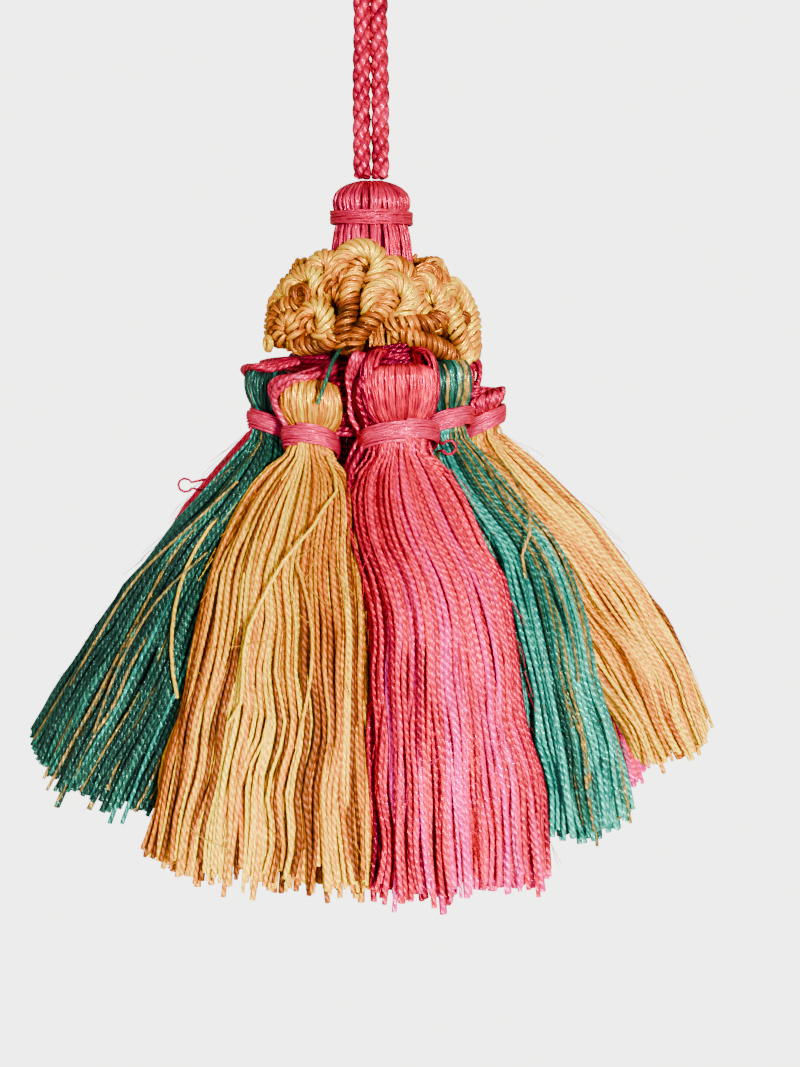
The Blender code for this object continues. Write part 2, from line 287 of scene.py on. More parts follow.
# %% The single strand
def spun_strand_tree():
    """The tree that sweeps one round strand along each path."""
    inputs = [
        ("Paths", "NodeSocketGeometry", None),
        ("Step", "NodeSocketFloat", 0.0015),
        ("Radius", "NodeSocketFloat", STRAND_R),
        ("Sides", "NodeSocketInt", 6),
        ("Material", "NodeSocketMaterial", None),
    ]
    outputs = [("Mesh", "NodeSocketGeometry")]
    tree, group_in, group_out = new_tree("Spun strand", "GeometryNodeTree", inputs, outputs)
    curve = sampled_path(tree, group_in)
    profile = round_profile(tree, group_in, group_in.outputs["Radius"])
    skinned(tree, group_in, group_out, curve, profile)
    return tree


SPUN_STRAND = spun_strand_tree()

# %% The rope with its plies laid round each other
ROPES_APART = 37.0  # keeps the dye of two ropes from being alike
PLIES_APART = 53.0  # keeps the dye of two plies from being alike


def laid_rope_tree():
    """The tree that lays several plies round each path."""
    inputs = [
        ("Paths", "NodeSocketGeometry", None),
        ("Step", "NodeSocketFloat", 0.0003),
        ("Plies", "NodeSocketInt", 3),
        ("Pitch", "NodeSocketFloat", 0.004),
        ("Lay Radius", "NodeSocketFloat", 0.0005),
        ("Ply Radius", "NodeSocketFloat", 0.0005),
        ("Sides", "NodeSocketInt", 6),
        ("Dye Spread", "NodeSocketFloat", 0.2),
        ("Dye Length", "NodeSocketFloat", 0.01),
        ("Material", "NodeSocketMaterial", None),
    ]
    outputs = [("Mesh", "NodeSocketGeometry")]
    tree, group_in, group_out = new_tree("Laid rope", "GeometryNodeTree", inputs, outputs)
    curve = sampled_path(tree, group_in)
    links = {"Geometry": curve, "Amount": group_in.outputs["Plies"]}
    copies = add(tree, "GeometryNodeDuplicateElements", links, domain="SPLINE")
    share = maths(
        tree, "DIVIDE", copies.outputs["Duplicate Index"], group_in.outputs["Plies"]
    )
    turns = maths(tree, "DIVIDE", named(tree, "along"), group_in.outputs["Pitch"])
    turns = maths(tree, "ADD", maths(tree, "ADD", turns, named(tree, "start")), share)
    angle = maths(tree, "MULTIPLY", turns, 2 * math.pi)
    normal = tree.nodes.new("GeometryNodeInputNormal").outputs["Normal"]
    tangent = tree.nodes.new("GeometryNodeInputTangent").outputs["Tangent"]
    links = enumerate((tangent, normal))
    side = add(tree, "ShaderNodeVectorMath", links, operation="CROSS_PRODUCT").outputs[0]
    radius = maths(tree, "MULTIPLY", group_in.outputs["Lay Radius"], named(tree, "thick"))
    parts = []
    for direction, wave in ((normal, "COSINE"), (side, "SINE")):
        reach = maths(tree, "MULTIPLY", maths(tree, wave, angle), radius)
        links = {0: direction, "Scale": reach}
        parts.append(add(tree, "ShaderNodeVectorMath", links, operation="SCALE").outputs[0])
    offset = add(tree, "ShaderNodeVectorMath", enumerate(parts), operation="ADD").outputs[0]
    drift = maths(tree, "DIVIDE", named(tree, "along"), group_in.outputs["Dye Length"])
    spot = maths(tree, "ADD", drift, maths(tree, "MULTIPLY", named(tree, "start"), ROPES_APART))
    spot = maths(tree, "ADD", spot, maths(tree, "MULTIPLY", share, PLIES_APART))
    links = {"W": spot, "Scale": 1.0}
    tint = add(tree, "ShaderNodeTexNoise", links, noise_dimensions="1D").outputs["Fac"]
    shift = maths(tree, "MULTIPLY", maths(tree, "SUBTRACT", tint, 0.5), 2.0)
    shift = maths(tree, "MULTIPLY", shift, group_in.outputs["Dye Spread"])
    dye = maths(tree, "ADD", named(tree, "dye"), shift)
    curve = stored(tree, copies.outputs["Geometry"], "dye", dye)
    moved = add(tree, "GeometryNodeSetPosition", {"Geometry": curve, "Offset": offset})
    profile = round_profile(tree, group_in, group_in.outputs["Ply Radius"])
    skinned(tree, group_in, group_out, moved.outputs["Geometry"], profile)
    return tree


LAID_ROPE = laid_rope_tree()
print("trees:", SPUN_STRAND.name, "and", LAID_ROPE.name)

# %% [markdown]
# ## From paths to pieces
#
# A strand is a path with its dye, its thickness and a random start. `spin` hands a list of
# strands to one of the trees and takes the finished mesh back. `piece` joins such meshes into
# one object, rides it on the body and lets it stand for its solid. A curve object for each
# strand would do as well, but thousands of objects are slow to make and to join.

# %% Strands
Strand = namedtuple("Strand", "path dye thick start")


def strand(shuffle, path, dye, thick=1.0):
    """A strand. Its dye and thickness are each one value, or one for each point of its path."""
    dyes = dye if isinstance(dye, list) else [dye] * len(path)
    thicks = thick if isinstance(thick, list) else [thick] * len(path)
    return Strand(path, dyes, thicks, shuffle.random())


def path_mesh(name, strands):
    """The strands' paths as edges, with what each point carries."""
    points, edges = [], []
    values = {"dye": [], "thick": [], "start": []}
    for one in strands:
        first = len(points)
        points += one.path
        edges += [(first + i, first + i + 1) for i in range(len(one.path) - 1)]
        values["dye"] += one.dye
        values["thick"] += one.thick
        values["start"] += [one.start] * len(one.path)
    mesh = bpy.data.meshes.new(name)
    mesh.from_pydata(points, edges, [])
    for key, numbers in values.items():
        mesh.attributes.new(key, "FLOAT", "POINT").data.foreach_set("value", numbers)
    return mesh


# %% Spin strands
def spin(strands, tree, material, **sizes):
    """A mesh of these strands, made by a tree with these sizes."""
    guide = bpy.data.objects.new("paths", path_mesh("paths", strands))
    bpy.context.scene.collection.objects.link(guide)
    modifier = guide.modifiers.new("Yarn", "NODES")
    modifier.node_group = tree
    wanted = {key.replace("_", " "): value for key, value in sizes.items()}
    wanted["material"] = material
    for item in tree.interface.items_tree:
        if item.name.lower() in wanted:
            modifier[item.identifier] = wanted.pop(item.name.lower())
    assert not wanted, wanted
    graph = bpy.context.evaluated_depsgraph_get()
    mesh = bpy.data.meshes.new_from_object(guide.evaluated_get(graph))
    bpy.data.objects.remove(guide)
    return mesh


# %% Pieces, and the solid cores inside them
TRIANGLES = {}


def piece(name, meshes, node):
    """One object from these meshes, which stands for the node."""
    parts = []
    for mesh in meshes:
        part = bpy.data.objects.new(name, mesh)
        bpy.context.scene.collection.objects.link(part)
        parts.append(part)
    made = parts[0]
    if len(parts) > 1:
        with bpy.context.temp_override(active_object=made, selected_editable_objects=parts):
            bpy.ops.object.join()
    made.name = name
    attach(made, "root")
    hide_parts(node)
    TRIANGLES[name] = sum(len(face.vertices) - 2 for face in made.data.polygons)
    print(name, TRIANGLES[name], "triangles")
    return made


def loft(name, rings, material):
    """A closed mesh through rings of points, with its two ends filled."""
    bm = bmesh.new()
    rows = [[bm.verts.new(point) for point in ring] for ring in rings]
    for upper, lower in zip(rows, rows[1:]):
        for i, here in enumerate(upper):
            after = (i + 1) % len(upper)
            bm.faces.new((here, lower[i], lower[after], upper[after]))
    bm.faces.new(rows[0])
    bm.faces.new(reversed(rows[-1]))
    mesh = bpy.data.meshes.new(name)
    bm.to_mesh(mesh)
    bm.free()
    mesh.materials.append(material)
    mesh.shade_smooth()
    return mesh


# %% [markdown]
# ## Dyed yarn
#
# The yarn is mercerised cotton, spun from two plies and dyed by hand, so its colour drifts
# along each strand. Each yarn's material is a ramp of the colours that its dye bath holds, read
# with the strand's own `dye` value. An image of spun yarn would blur close up, so nodes draw it.
# What all the yarns share is two shader groups. One lets the dye drift. The other draws the
# plies as a helix on the unwrap, with fine fibres along them. Its colour holds painted shade that
# darkens and deepens the dye between the plies, and a faint painted highlight on their crests.
# It puts out a colour, a roughness and a height for bump.

# %% The shader group for drifting dye
STRANDS_APART = 57.0  # keeps the drift of two strands from being alike
DRIFT_SCALE = 0.7  # changes in a millimetre


def dye_drift_group():
    """The dye value, with the small changes that hand dyeing leaves along a strand."""
    inputs = [
        ("Dye", "NodeSocketFloat", 0.5),
        ("Along", "NodeSocketFloat", 0.0),
        ("Start", "NodeSocketFloat", 0.0),
        ("Amount", "NodeSocketFloat", 0.2),
    ]
    outputs = [("Dye", "NodeSocketFloat")]
    tree, group_in, group_out = new_tree("Dye drift", "ShaderNodeTree", inputs, outputs)
    offset = maths(tree, "MULTIPLY", group_in.outputs["Start"], STRANDS_APART)
    links = {"W": maths(tree, "ADD", group_in.outputs["Along"], offset), "Scale": DRIFT_SCALE}
    drift = add(tree, "ShaderNodeTexNoise", links, noise_dimensions="1D").outputs["Fac"]
    change = maths(tree, "MULTIPLY", maths(tree, "SUBTRACT", drift, 0.5), 2.0)
    change = maths(tree, "MULTIPLY", change, group_in.outputs["Amount"])
    dye = maths(tree, "ADD", group_in.outputs["Dye"], change)
    tree.links.new(dye, group_out.inputs["Dye"])
    return tree


DYE_DRIFT = dye_drift_group()

# %% The shader group for plies and fibres
CREST_SHAPE = 1.1  # the higher it is, the narrower the crests and the wider the painted shade between the plies
CREST_HIGHLIGHT_GAMMA = 0.95  # painted highlight: below 1, the dye looks a little lighter on the crest of a ply
VALLEY_SHADE_GAMMA = 1.35  # painted shade: above 1, the dye looks darker and deeper between two plies
FIBRES_APART = 91.0  # keeps the fibres of two strands from being alike
FIBRES_ROUND = 2.2  # how fast the fibres change round a strand
FIBRES_ALONG = 1.1  # and in each millimetre of it: slowly, because they lie along it
FIBRE_SHADES = (0.55, 1.45)  # the darkest and the lightest fibre, as shares of the dye
FIBRE_BUMP = 1.1  # how much fibres stand out, as a share of how much the plies do


def spun_yarn_group():
    """The plies of a spun strand, with the fibres that run along them."""
    inputs = [
        ("Colour", "NodeSocketColor", (0.5, 0.5, 0.5, 1.0)),
        ("Around", "NodeSocketFloat", 0.0),
        ("Along", "NodeSocketFloat", 0.0),
        ("Start", "NodeSocketFloat", 0.0),
        ("Pitch", "NodeSocketFloat", 1.8),
        ("Plies", "NodeSocketFloat", 2.0),
        ("Valley", "NodeSocketFloat", 0.4),
        ("Dull", "NodeSocketFloat", 0.8),
        ("Shine", "NodeSocketFloat", 0.3),
    ]
    outputs = [
        ("Colour", "NodeSocketColor"),
        ("Roughness", "NodeSocketFloat"),
        ("Height", "NodeSocketFloat"),
    ]
    tree, group_in, group_out = new_tree("Spun yarn", "ShaderNodeTree", inputs, outputs)
    around, along = group_in.outputs["Around"], group_in.outputs["Along"]
    start = group_in.outputs["Start"]
    turns = maths(tree, "DIVIDE", along, group_in.outputs["Pitch"])
    turns = maths(tree, "ADD", maths(tree, "ADD", turns, around), start)
    turns = maths(tree, "MULTIPLY", turns, group_in.outputs["Plies"])
    wave = maths(tree, "SINE", maths(tree, "MULTIPLY", turns, math.pi))
    crest = maths(tree, "POWER", maths(tree, "ABSOLUTE", wave), CREST_SHAPE)
    angle = maths(tree, "MULTIPLY", around, 2 * math.pi)
    offset = maths(tree, "MULTIPLY", start, FIBRES_APART)
    links = {
        "X": maths(tree, "MULTIPLY", maths(tree, "COSINE", angle), FIBRES_ROUND),
        "Y": maths(tree, "MULTIPLY", maths(tree, "SINE", angle), FIBRES_ROUND),
        "Z": maths(tree, "ADD", maths(tree, "MULTIPLY", along, FIBRES_ALONG), offset),
    }
    spot = add(tree, "ShaderNodeCombineXYZ", links).outputs["Vector"]
    links = {"Vector": spot, "Scale": 1.6, "Detail": 3.0}
    fibres = add(tree, "ShaderNodeTexNoise", links).outputs["Fac"]
    grain = mapped(tree, fibres, *FIBRE_SHADES, from_low=0.3, from_high=0.7)
    # Painted shade: between the plies the colour is darkened and its dye deepened; on the crests it is a
    # touch lighter, a faint painted highlight.
    shade = mapped(tree, crest, group_in.outputs["Valley"], 1.0)
    depth = mapped(tree, crest, VALLEY_SHADE_GAMMA, CREST_HIGHLIGHT_GAMMA)
    links = {"Color": group_in.outputs["Colour"], "Gamma": depth}
    deep = add(tree, "ShaderNodeGamma", links).outputs["Color"]
    links = {"Color": deep, "Value": maths(tree, "MULTIPLY", shade, grain)}
    dyed = add(tree, "ShaderNodeHueSaturation", links).outputs["Color"]
    gloss = maths(tree, "MULTIPLY", crest, maths(tree, "ADD", fibres, 0.5))
    rough = mapped(tree, gloss, group_in.outputs["Dull"], group_in.outputs["Shine"])
    height = maths(tree, "ADD", crest, maths(tree, "MULTIPLY", fibres, FIBRE_BUMP))
    tree.links.new(dyed, group_out.inputs["Colour"])
    tree.links.new(rough, group_out.inputs["Roughness"])
    tree.links.new(height, group_out.inputs["Height"])
    return tree


SPUN_YARN = spun_yarn_group()
print("shader groups:", DYE_DRIFT.name, "and", SPUN_YARN.name)

# %% [markdown]
# ## The dye baths and the yarns
#
# A bath is a ramp from its darkest colour to its lightest, and each strand takes its own place
# on it. The teal bath ends in gold, for the odd gold threads among the teal ones. Silky cotton
# shines in the colour of its dye, because the light runs through dyed fibres before it leaves.
# A white highlight would look like plastic, so the shader is partly metallic, and its highlight
# is tinted with the bath's own glint.

# %% The dye baths
BATHS = {
    "rose": [
        (0.00, (0.070, 0.001, 0.012)),
        (0.30, (0.240, 0.001, 0.024)),
        (0.60, (0.500, 0.002, 0.064)),
        (0.85, (0.660, 0.030, 0.140)),
        (1.00, (0.860, 0.200, 0.340)),
    ],
    "teal": [
        (0.00, (0.004, 0.010, 0.010)),
        (0.25, (0.010, 0.034, 0.026)),
        (0.45, (0.014, 0.110, 0.070)),
        (0.62, (0.012, 0.240, 0.200)),
        (0.78, (0.050, 0.460, 0.350)),
        (0.88, (0.130, 0.090, 0.024)),
        (1.00, (0.520, 0.300, 0.040)),
    ],
    "gold": [
        (0.00, (0.180, 0.040, 0.014)),
        (0.22, (0.340, 0.080, 0.014)),
        (0.42, (0.520, 0.170, 0.001)),
        (0.60, (0.690, 0.305, 0.000)),
        (0.80, (0.750, 0.440, 0.000)),
        (1.00, (0.810, 0.600, 0.000)),
    ],
    "pink": [
        (0.00, (0.180, 0.0006, 0.014)),
        (0.25, (0.460, 0.0005, 0.030)),
        (0.50, (0.840, 0.0030, 0.085)),
        (0.75, (0.860, 0.0030, 0.270)),
        (0.90, (0.900, 0.0100, 0.360)),
        (1.00, (1.000, 0.1000, 0.460)),
    ],
    "rope gold": [
        (0.00, (0.040, 0.007, 0.006)),
        (0.22, (0.240, 0.046, 0.014)),
        (0.42, (0.480, 0.140, 0.001)),
        (0.60, (0.720, 0.310, 0.001)),
        (0.80, (0.790, 0.460, 0.001)),
        (1.00, (0.840, 0.630, 0.001)),
    ],
}
GLINTS = {
    "rose": (1.00, 0.02, 0.22),
    "teal": (0.30, 1.00, 0.75),
    "gold": (1.00, 0.60, 0.01),
    "pink": (1.00, 0.01, 0.35),
    "rope gold": (1.00, 0.62, 0.01),
}
print("dye baths:", ", ".join(BATHS))

# %% The yarn material
EDGE_SHADE = 0.6  # painted shade: how much darker and deeper the dye turns towards a strand's edges, away from the view
SHEEN = 0.68  # how much of the shine takes the dye's colour, as on metal
DRIFT_AMOUNT = 0.16


def yarn_material(name, bath, pitch=1.8, plies=2, valley=0.72, relief=0.00012, shine=0.18):
    """A yarn whose dye value runs through the colours of its bath.

    pitch is in millimetres, valley is how dark the painted shade between its plies is,
    relief is how far the plies stand out, and shine is the roughness of their crests.
    """
    material = bpy.data.materials.new(name)
    material.use_nodes = True
    tree = material.node_tree
    shader = tree.nodes["Principled BSDF"]
    dye = add(tree, "ShaderNodeAttribute", attribute_name="dye").outputs["Fac"]
    start = add(tree, "ShaderNodeAttribute", attribute_name="start").outputs["Fac"]
    unwrap = add(tree, "ShaderNodeUVMap", uv_map="yarn")
    place = add(tree, "ShaderNodeSeparateXYZ", {"Vector": unwrap.outputs["UV"]})
    around, along = place.outputs["X"], place.outputs["Y"]
    links = {"Dye": dye, "Along": along, "Start": start, "Amount": DRIFT_AMOUNT}
    drift = add(tree, "ShaderNodeGroup", links, node_tree=DYE_DRIFT)
    ramp = add(tree, "ShaderNodeValToRGB", {"Fac": drift.outputs["Dye"]})
    stops = ramp.color_ramp.elements
    while len(stops) < len(BATHS[bath]):
        stops.new(0.5)
    for stop, (position, colour) in zip(stops, BATHS[bath]):
        stop.position = position
        stop.color = (*colour, 1.0)
    links = {
        "Colour": ramp.outputs["Color"],
        "Around": around,
        "Along": along,
        "Start": start,
        "Pitch": pitch,
        "Plies": plies,
        "Valley": valley,
        "Shine": shine,
    }
    yarn = add(tree, "ShaderNodeGroup", links, node_tree=SPUN_YARN)
    links = {"Height": yarn.outputs["Height"], "Strength": 1.0, "Distance": relief}
    bump = add(tree, "ShaderNodeBump", links)
    # Painted shade: Layer Weight's facing darkens and deepens the dye towards each strand's edges.
    facing = add(tree, "ShaderNodeLayerWeight", {"Blend": 0.5}).outputs["Facing"]
    depth = maths(tree, "MULTIPLY_ADD", facing, EDGE_SHADE, 1.0)
    links = {"Color": yarn.outputs["Colour"], "Gamma": depth}
    deep = add(tree, "ShaderNodeGamma", links).outputs["Color"]
    tree.links.new(deep, shader.inputs["Base Color"])
    tree.links.new(yarn.outputs["Roughness"], shader.inputs["Roughness"])
    tree.links.new(bump.outputs["Normal"], shader.inputs["Normal"])
    shader.inputs["Metallic"].default_value = SHEEN
    shader.inputs["Specular IOR Level"].default_value = 1.0
    shader.inputs["Specular Tint"].default_value = (*GLINTS[bath], 1.0)
    return material


# %% The yarns
YARNS = {
    "teal": yarn_material("teal yarn", "teal"),
    "gold": yarn_material("gold yarn", "gold", valley=0.95, shine=0.48),
    "pink": yarn_material("pink yarn", "pink"),
    "rose": yarn_material("rose yarn", "rose", valley=0.66),
    "rose_thread": yarn_material(
        "rose thread", "rose", pitch=9.0, plies=4, valley=0.75, relief=0.00008
    ),
    "rope_gold": yarn_material(
        "rope gold yarn", "rope gold", pitch=9.0, plies=5, valley=0.78, relief=0.00010, shine=0.26
    ),
}
for bath in ("teal", "gold", "pink"):
    YARNS[f"taut_{bath}"] = yarn_material(
        f"taut {bath} yarn", bath, pitch=7.0, plies=3, relief=0.00008
    )
print("yarns:", ", ".join(YARNS))

# %% [markdown]
# ## The hanging cord
#
# One cord of three plies comes up out of the head, opens into the loop that a key's bow or a
# knob goes through, and runs down again. The tassel's weight keeps it straight. It is a free
# cord with a known length, so its route is a list of points, and the rope tree lays its plies
# along them.

# %% Lay the cord
HEAD_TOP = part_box("head")[1][2]
CORD_D = 0.0020
CORD_SPREAD = 0.0023  # between its two runs
LOOP_WIDTH = 0.0130
LOOP_OPEN = 0.0240  # how far down the loop is open
cord_half = CORD_SPREAD / 2
loop_half = LOOP_WIDTH / 2
cord_start = HEAD_TOP + GAP
cord_crest = CORD_D / 2
cord_right = [
    Vector((cord_half, 0.0, cord_start)),
    Vector((cord_half, 0.0, mix(cord_start, -LOOP_OPEN, 0.5))),
    Vector((cord_half, 0.0, -LOOP_OPEN)),
    Vector((mix(cord_half, loop_half, 0.45), 0.0, -0.66 * LOOP_OPEN)),
    Vector((0.97 * loop_half, 0.0, -0.34 * LOOP_OPEN)),
    Vector((0.80 * loop_half, 0.0, cord_crest - 0.11 * LOOP_OPEN)),
]
cord_left = [Vector((-point.x, 0.0, point.z)) for point in cord_right]
cord_route = [*cord_left, Vector((0.0, 0.0, cord_crest)), *reversed(cord_right)]
cord_path = smooth_path(cord_route, 0.0038)
shuffle = random.Random(3)
cord_mesh = spin(
    [strand(shuffle, cord_path, 0.50)],
    LAID_ROPE,
    YARNS["rose"],
    plies=3,
    pitch=0.0062,
    lay_radius=0.00054,
    ply_radius=0.00064,
    sides=10,
    step=0.0004,
    dye_spread=0.5,
    dye_length=0.006,
)
cord = piece("hanging_cord", [cord_mesh], "hanging_loop")

# %% [markdown]
# ## The head
#
# The head is a core wrapped lengthwise with yarn, so its strands run over the rounded top, down
# the side and into the ruff. Under the ruff the wrap's cut ends hang down inside, dyed dark as a
# painted shadow under the ruff, and a collar of thread holds the ties on the stem. A finer thread,
# wound round the head, makes the band. All are strands on simple paths: meridians for the wrap,
# and a helix each for collar and band. A turned shape with a bump map would be lighter, but its
# outline would stay smooth.

# %% Wrap the head
STEM_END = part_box("head")[0][2]
STEM_R = 0.0053
SHOULDER_Z = -0.0570  # where the stem reaches its full width
CAP_R = 0.0050
CAP_DOME = 0.0027
DOME_STEPS = 5
BAND_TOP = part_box("head_band")[1][2]
BAND_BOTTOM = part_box("head_band")[0][2]
BAND_R = 0.0052
BAND_SINK = 0.0006  # how far the band pulls the wraps in


def head_profile(sink):
    """(radius, z) pairs from the cord down to the stem's end, this far under the surface."""
    pairs = []
    for step in range(1, DOME_STEPS + 1):
        angle = math.pi / 2 * step / DOME_STEPS
        drop = (CAP_DOME - sink) * (1.0 - math.cos(angle))
        pairs.append(((CAP_R - sink) * math.sin(angle), HEAD_TOP - sink - drop))
    waist = BAND_R - BAND_SINK - sink
    pairs += [
        (CAP_R - sink, BAND_TOP + 0.0006),
        (waist, BAND_TOP - 0.0004),
        (waist, BAND_BOTTOM + 0.0002),
        (CAP_R - sink - 0.0001, BAND_BOTTOM - 0.0010),
        (STEM_R - sink, SHOULDER_Z),
        (STEM_R - sink, STEM_END + 0.0010),
    ]
    return pairs


HEAD_WRAPS = 88
WRAP_THICK = 0.70
WRAP_LEAN = 9.0  # how many degrees round a wrap may wander on its way down
shuffle = random.Random(5)
wraps = []
for wrap in range(HEAD_WRAPS):
    azimuth = 360.0 * wrap / HEAD_WRAPS + shuffle.uniform(-2.0, 2.0)
    lean = shuffle.uniform(-WRAP_LEAN, WRAP_LEAN)
    profile = head_profile(STRAND_R * shuffle.uniform(0.6, 1.0))
    wrap_path = []
    for step, (radius, z) in enumerate(profile):
        wrap_path.append(polar(radius, azimuth + lean * step / (len(profile) - 1), z))
    wraps.append(strand(shuffle, wrap_path, shuffle.gauss(0.52, 0.12), WRAP_THICK))
wrap_mesh = spin(wraps, SPUN_STRAND, YARNS["rose_thread"], step=0.0008)
print("head wraps:", len(wraps))

# %% Fill the inside and wind the collar
HEAD_TAILS = 44  # the wrap's cut ends, dyed dark as a painted shadow under the ruff
TAIL_ROUTE = ((STEM_R - 0.0012, -0.0640), (0.0072, -0.0710), (0.0098, -0.0780), (0.0106, -0.0900))
TAIL_STRAY = 0.0006
TAIL_THICK = 1.3
tails = []
for tail in range(HEAD_TAILS):
    azimuth = 360.0 * tail / HEAD_TAILS + shuffle.uniform(-4.0, 4.0)
    tail_path = []
    for radius, z in TAIL_ROUTE:
        tail_path.append(polar(radius + shuffle.uniform(-1, 1) * TAIL_STRAY, azimuth, z))
    # Painted shadow: the cut ends take the dark end of the rose dye, as the shade under the ruff.
    tails.append(strand(shuffle, tail_path, shuffle.uniform(0.0, 0.3), TAIL_THICK))

COLLAR_TURNS = 15
COLLAR_TOP = -0.0676
COLLAR_BOTTOM = -0.0765
COLLAR_R = 0.0104
COLLAR_SWELL = 0.0018
COLLAR_UNEVEN = 0.0005
COLLAR_THICK = 1.1
TURN_STEPS = 20
collar_path, collar_dyes = [], []
for step in range(TURN_STEPS * COLLAR_TURNS + 1):
    share = step / (TURN_STEPS * COLLAR_TURNS)
    radius = COLLAR_R + COLLAR_SWELL * smooth(2.0 * share) + COLLAR_UNEVEN * math.sin(2.3 * step)
    z = mix(COLLAR_TOP, COLLAR_BOTTOM, share)
    collar_path.append(polar(radius, 360.0 * step / TURN_STEPS, z))
    collar_dyes.append(0.25 + 0.5 * noise.noise(Vector((0.4 * step, 5.0, 2.0))))
tails.append(strand(shuffle, collar_path, collar_dyes, COLLAR_THICK))
tail_mesh = spin(tails, SPUN_STRAND, YARNS["rose"], step=0.0015, sides=5)

CORE_SIDES = 24
CORE_SINK = 0.0008
core_rings = []
for radius, z in head_profile(CORE_SINK):
    core_rings.append([polar(radius, 360.0 * side / CORE_SIDES, z) for side in range(CORE_SIDES)])
core_mesh = loft("head_core", core_rings, YARNS["rose_thread"])
piece("head_wrap", [wrap_mesh, tail_mesh, core_mesh], "head")

# %% Wind the band
BAND_TURNS = 6
BAND_START = -140.0  # the azimuth where its thread begins
BAND_UNEVEN = 0.00008
BAND_STEPS = 24
shuffle = random.Random(6)
band_thread = 0.5 * (BAND_TOP - BAND_BOTTOM) / (BAND_TURNS - 0.6)  # half its width
band_path = []
for step in range(BAND_STEPS * BAND_TURNS + 1):
    share = step / (BAND_STEPS * BAND_TURNS)
    z = mix(BAND_TOP - band_thread, BAND_BOTTOM + band_thread, share)
    z += BAND_UNEVEN * math.sin(7.0 * step)
    azimuth = BAND_START + 360.0 * step / BAND_STEPS
    band_path.append(polar(BAND_R - 0.5 * band_thread, azimuth, z))
band_mesh = spin(
    [strand(shuffle, band_path, 0.65, band_thread / STRAND_R)],
    SPUN_STRAND,
    YARNS["rose_thread"],
    sides=8,
    step=0.0006,
)
piece("head_band_winding", [band_mesh], "head_band")

# %% [markdown]
# ## The ruff
#
# The ruff is thick rope, sewn to the stem in standing loops. Three tiers of loops come from one
# table, and the same seed gives each loop the small lean that its solid has. Rings of the same
# rope, laid round the stem, close the gaps between the loops. Over them lie more turns of rope,
# looser and of more plies. Chance alone would never lay the front ones as a hand has, so their
# routes are lists, and those of the sides and the back follow a rule.

# %% The loops' centre lines
Tier = namedtuple("Tier", "count foot_z top_z foot_r top_r half_span first")
TIERS = [
    Tier(7, -0.0600, -0.0557, 0.0079, 0.0077, 0.0026, -8.0),
    Tier(8, -0.0638, -0.0594, 0.0098, 0.0102, 0.0028, 18.0),
    Tier(10, -0.0653, -0.0634, 0.0112, 0.0121, 0.0029, -30.0),
]
RUFF_SEED = 11
RUFF_STRAY = 5.0  # how many degrees a loop may stand out of its place
RUFF_LIFT = 0.0005
RUFF_LEAN = 0.0013
LOOP_STEPS = 8
LOWERED = {1: 0.0022, 6: 0.0022, 5: 0.0010, 2: 0.0010}  # loops that have slipped down the stem


def ruff_loops():
    """The centre line of each loop, tier by tier."""
    shuffle = random.Random(RUFF_SEED)
    loops = []
    for tier in TIERS:
        for i in range(tier.count):
            azimuth = tier.first + 360.0 * i / tier.count + shuffle.uniform(-1, 1) * RUFF_STRAY
            lift = shuffle.uniform(-1, 1) * RUFF_LIFT
            lean = shuffle.uniform(-1, 1) * RUFF_LEAN
            half_span = tier.half_span * shuffle.uniform(0.85, 1.1)
            route = []
            for step in range(LOOP_STEPS + 1):
                turn = math.pi * step / LOOP_STEPS
                rise = math.sin(turn)
                radius = mix(tier.foot_r, tier.top_r, rise)
                across = -half_span * math.cos(turn) + lean * rise
                z = mix(tier.foot_z, tier.top_z, rise) + lift - LOWERED.get(len(loops), 0.0)
                route.append(polar(radius, azimuth + math.degrees(across / radius), z))
            loops.append(route)
    return loops


print("loops in the ruff:", len(ruff_loops()))

# %% Ropes that lie over the loops
Swell = namedtuple("Swell", "depth radius")  # the ruff's own surface, this far under the top
RUFF_SWELL = [
    Swell(0.0530, 0.0080),
    Swell(0.0555, 0.0088),
    Swell(0.0595, 0.0112),
    Swell(0.0634, 0.0131),
    Swell(0.0700, 0.0134),
]
Over = namedtuple("Over", "tones route")
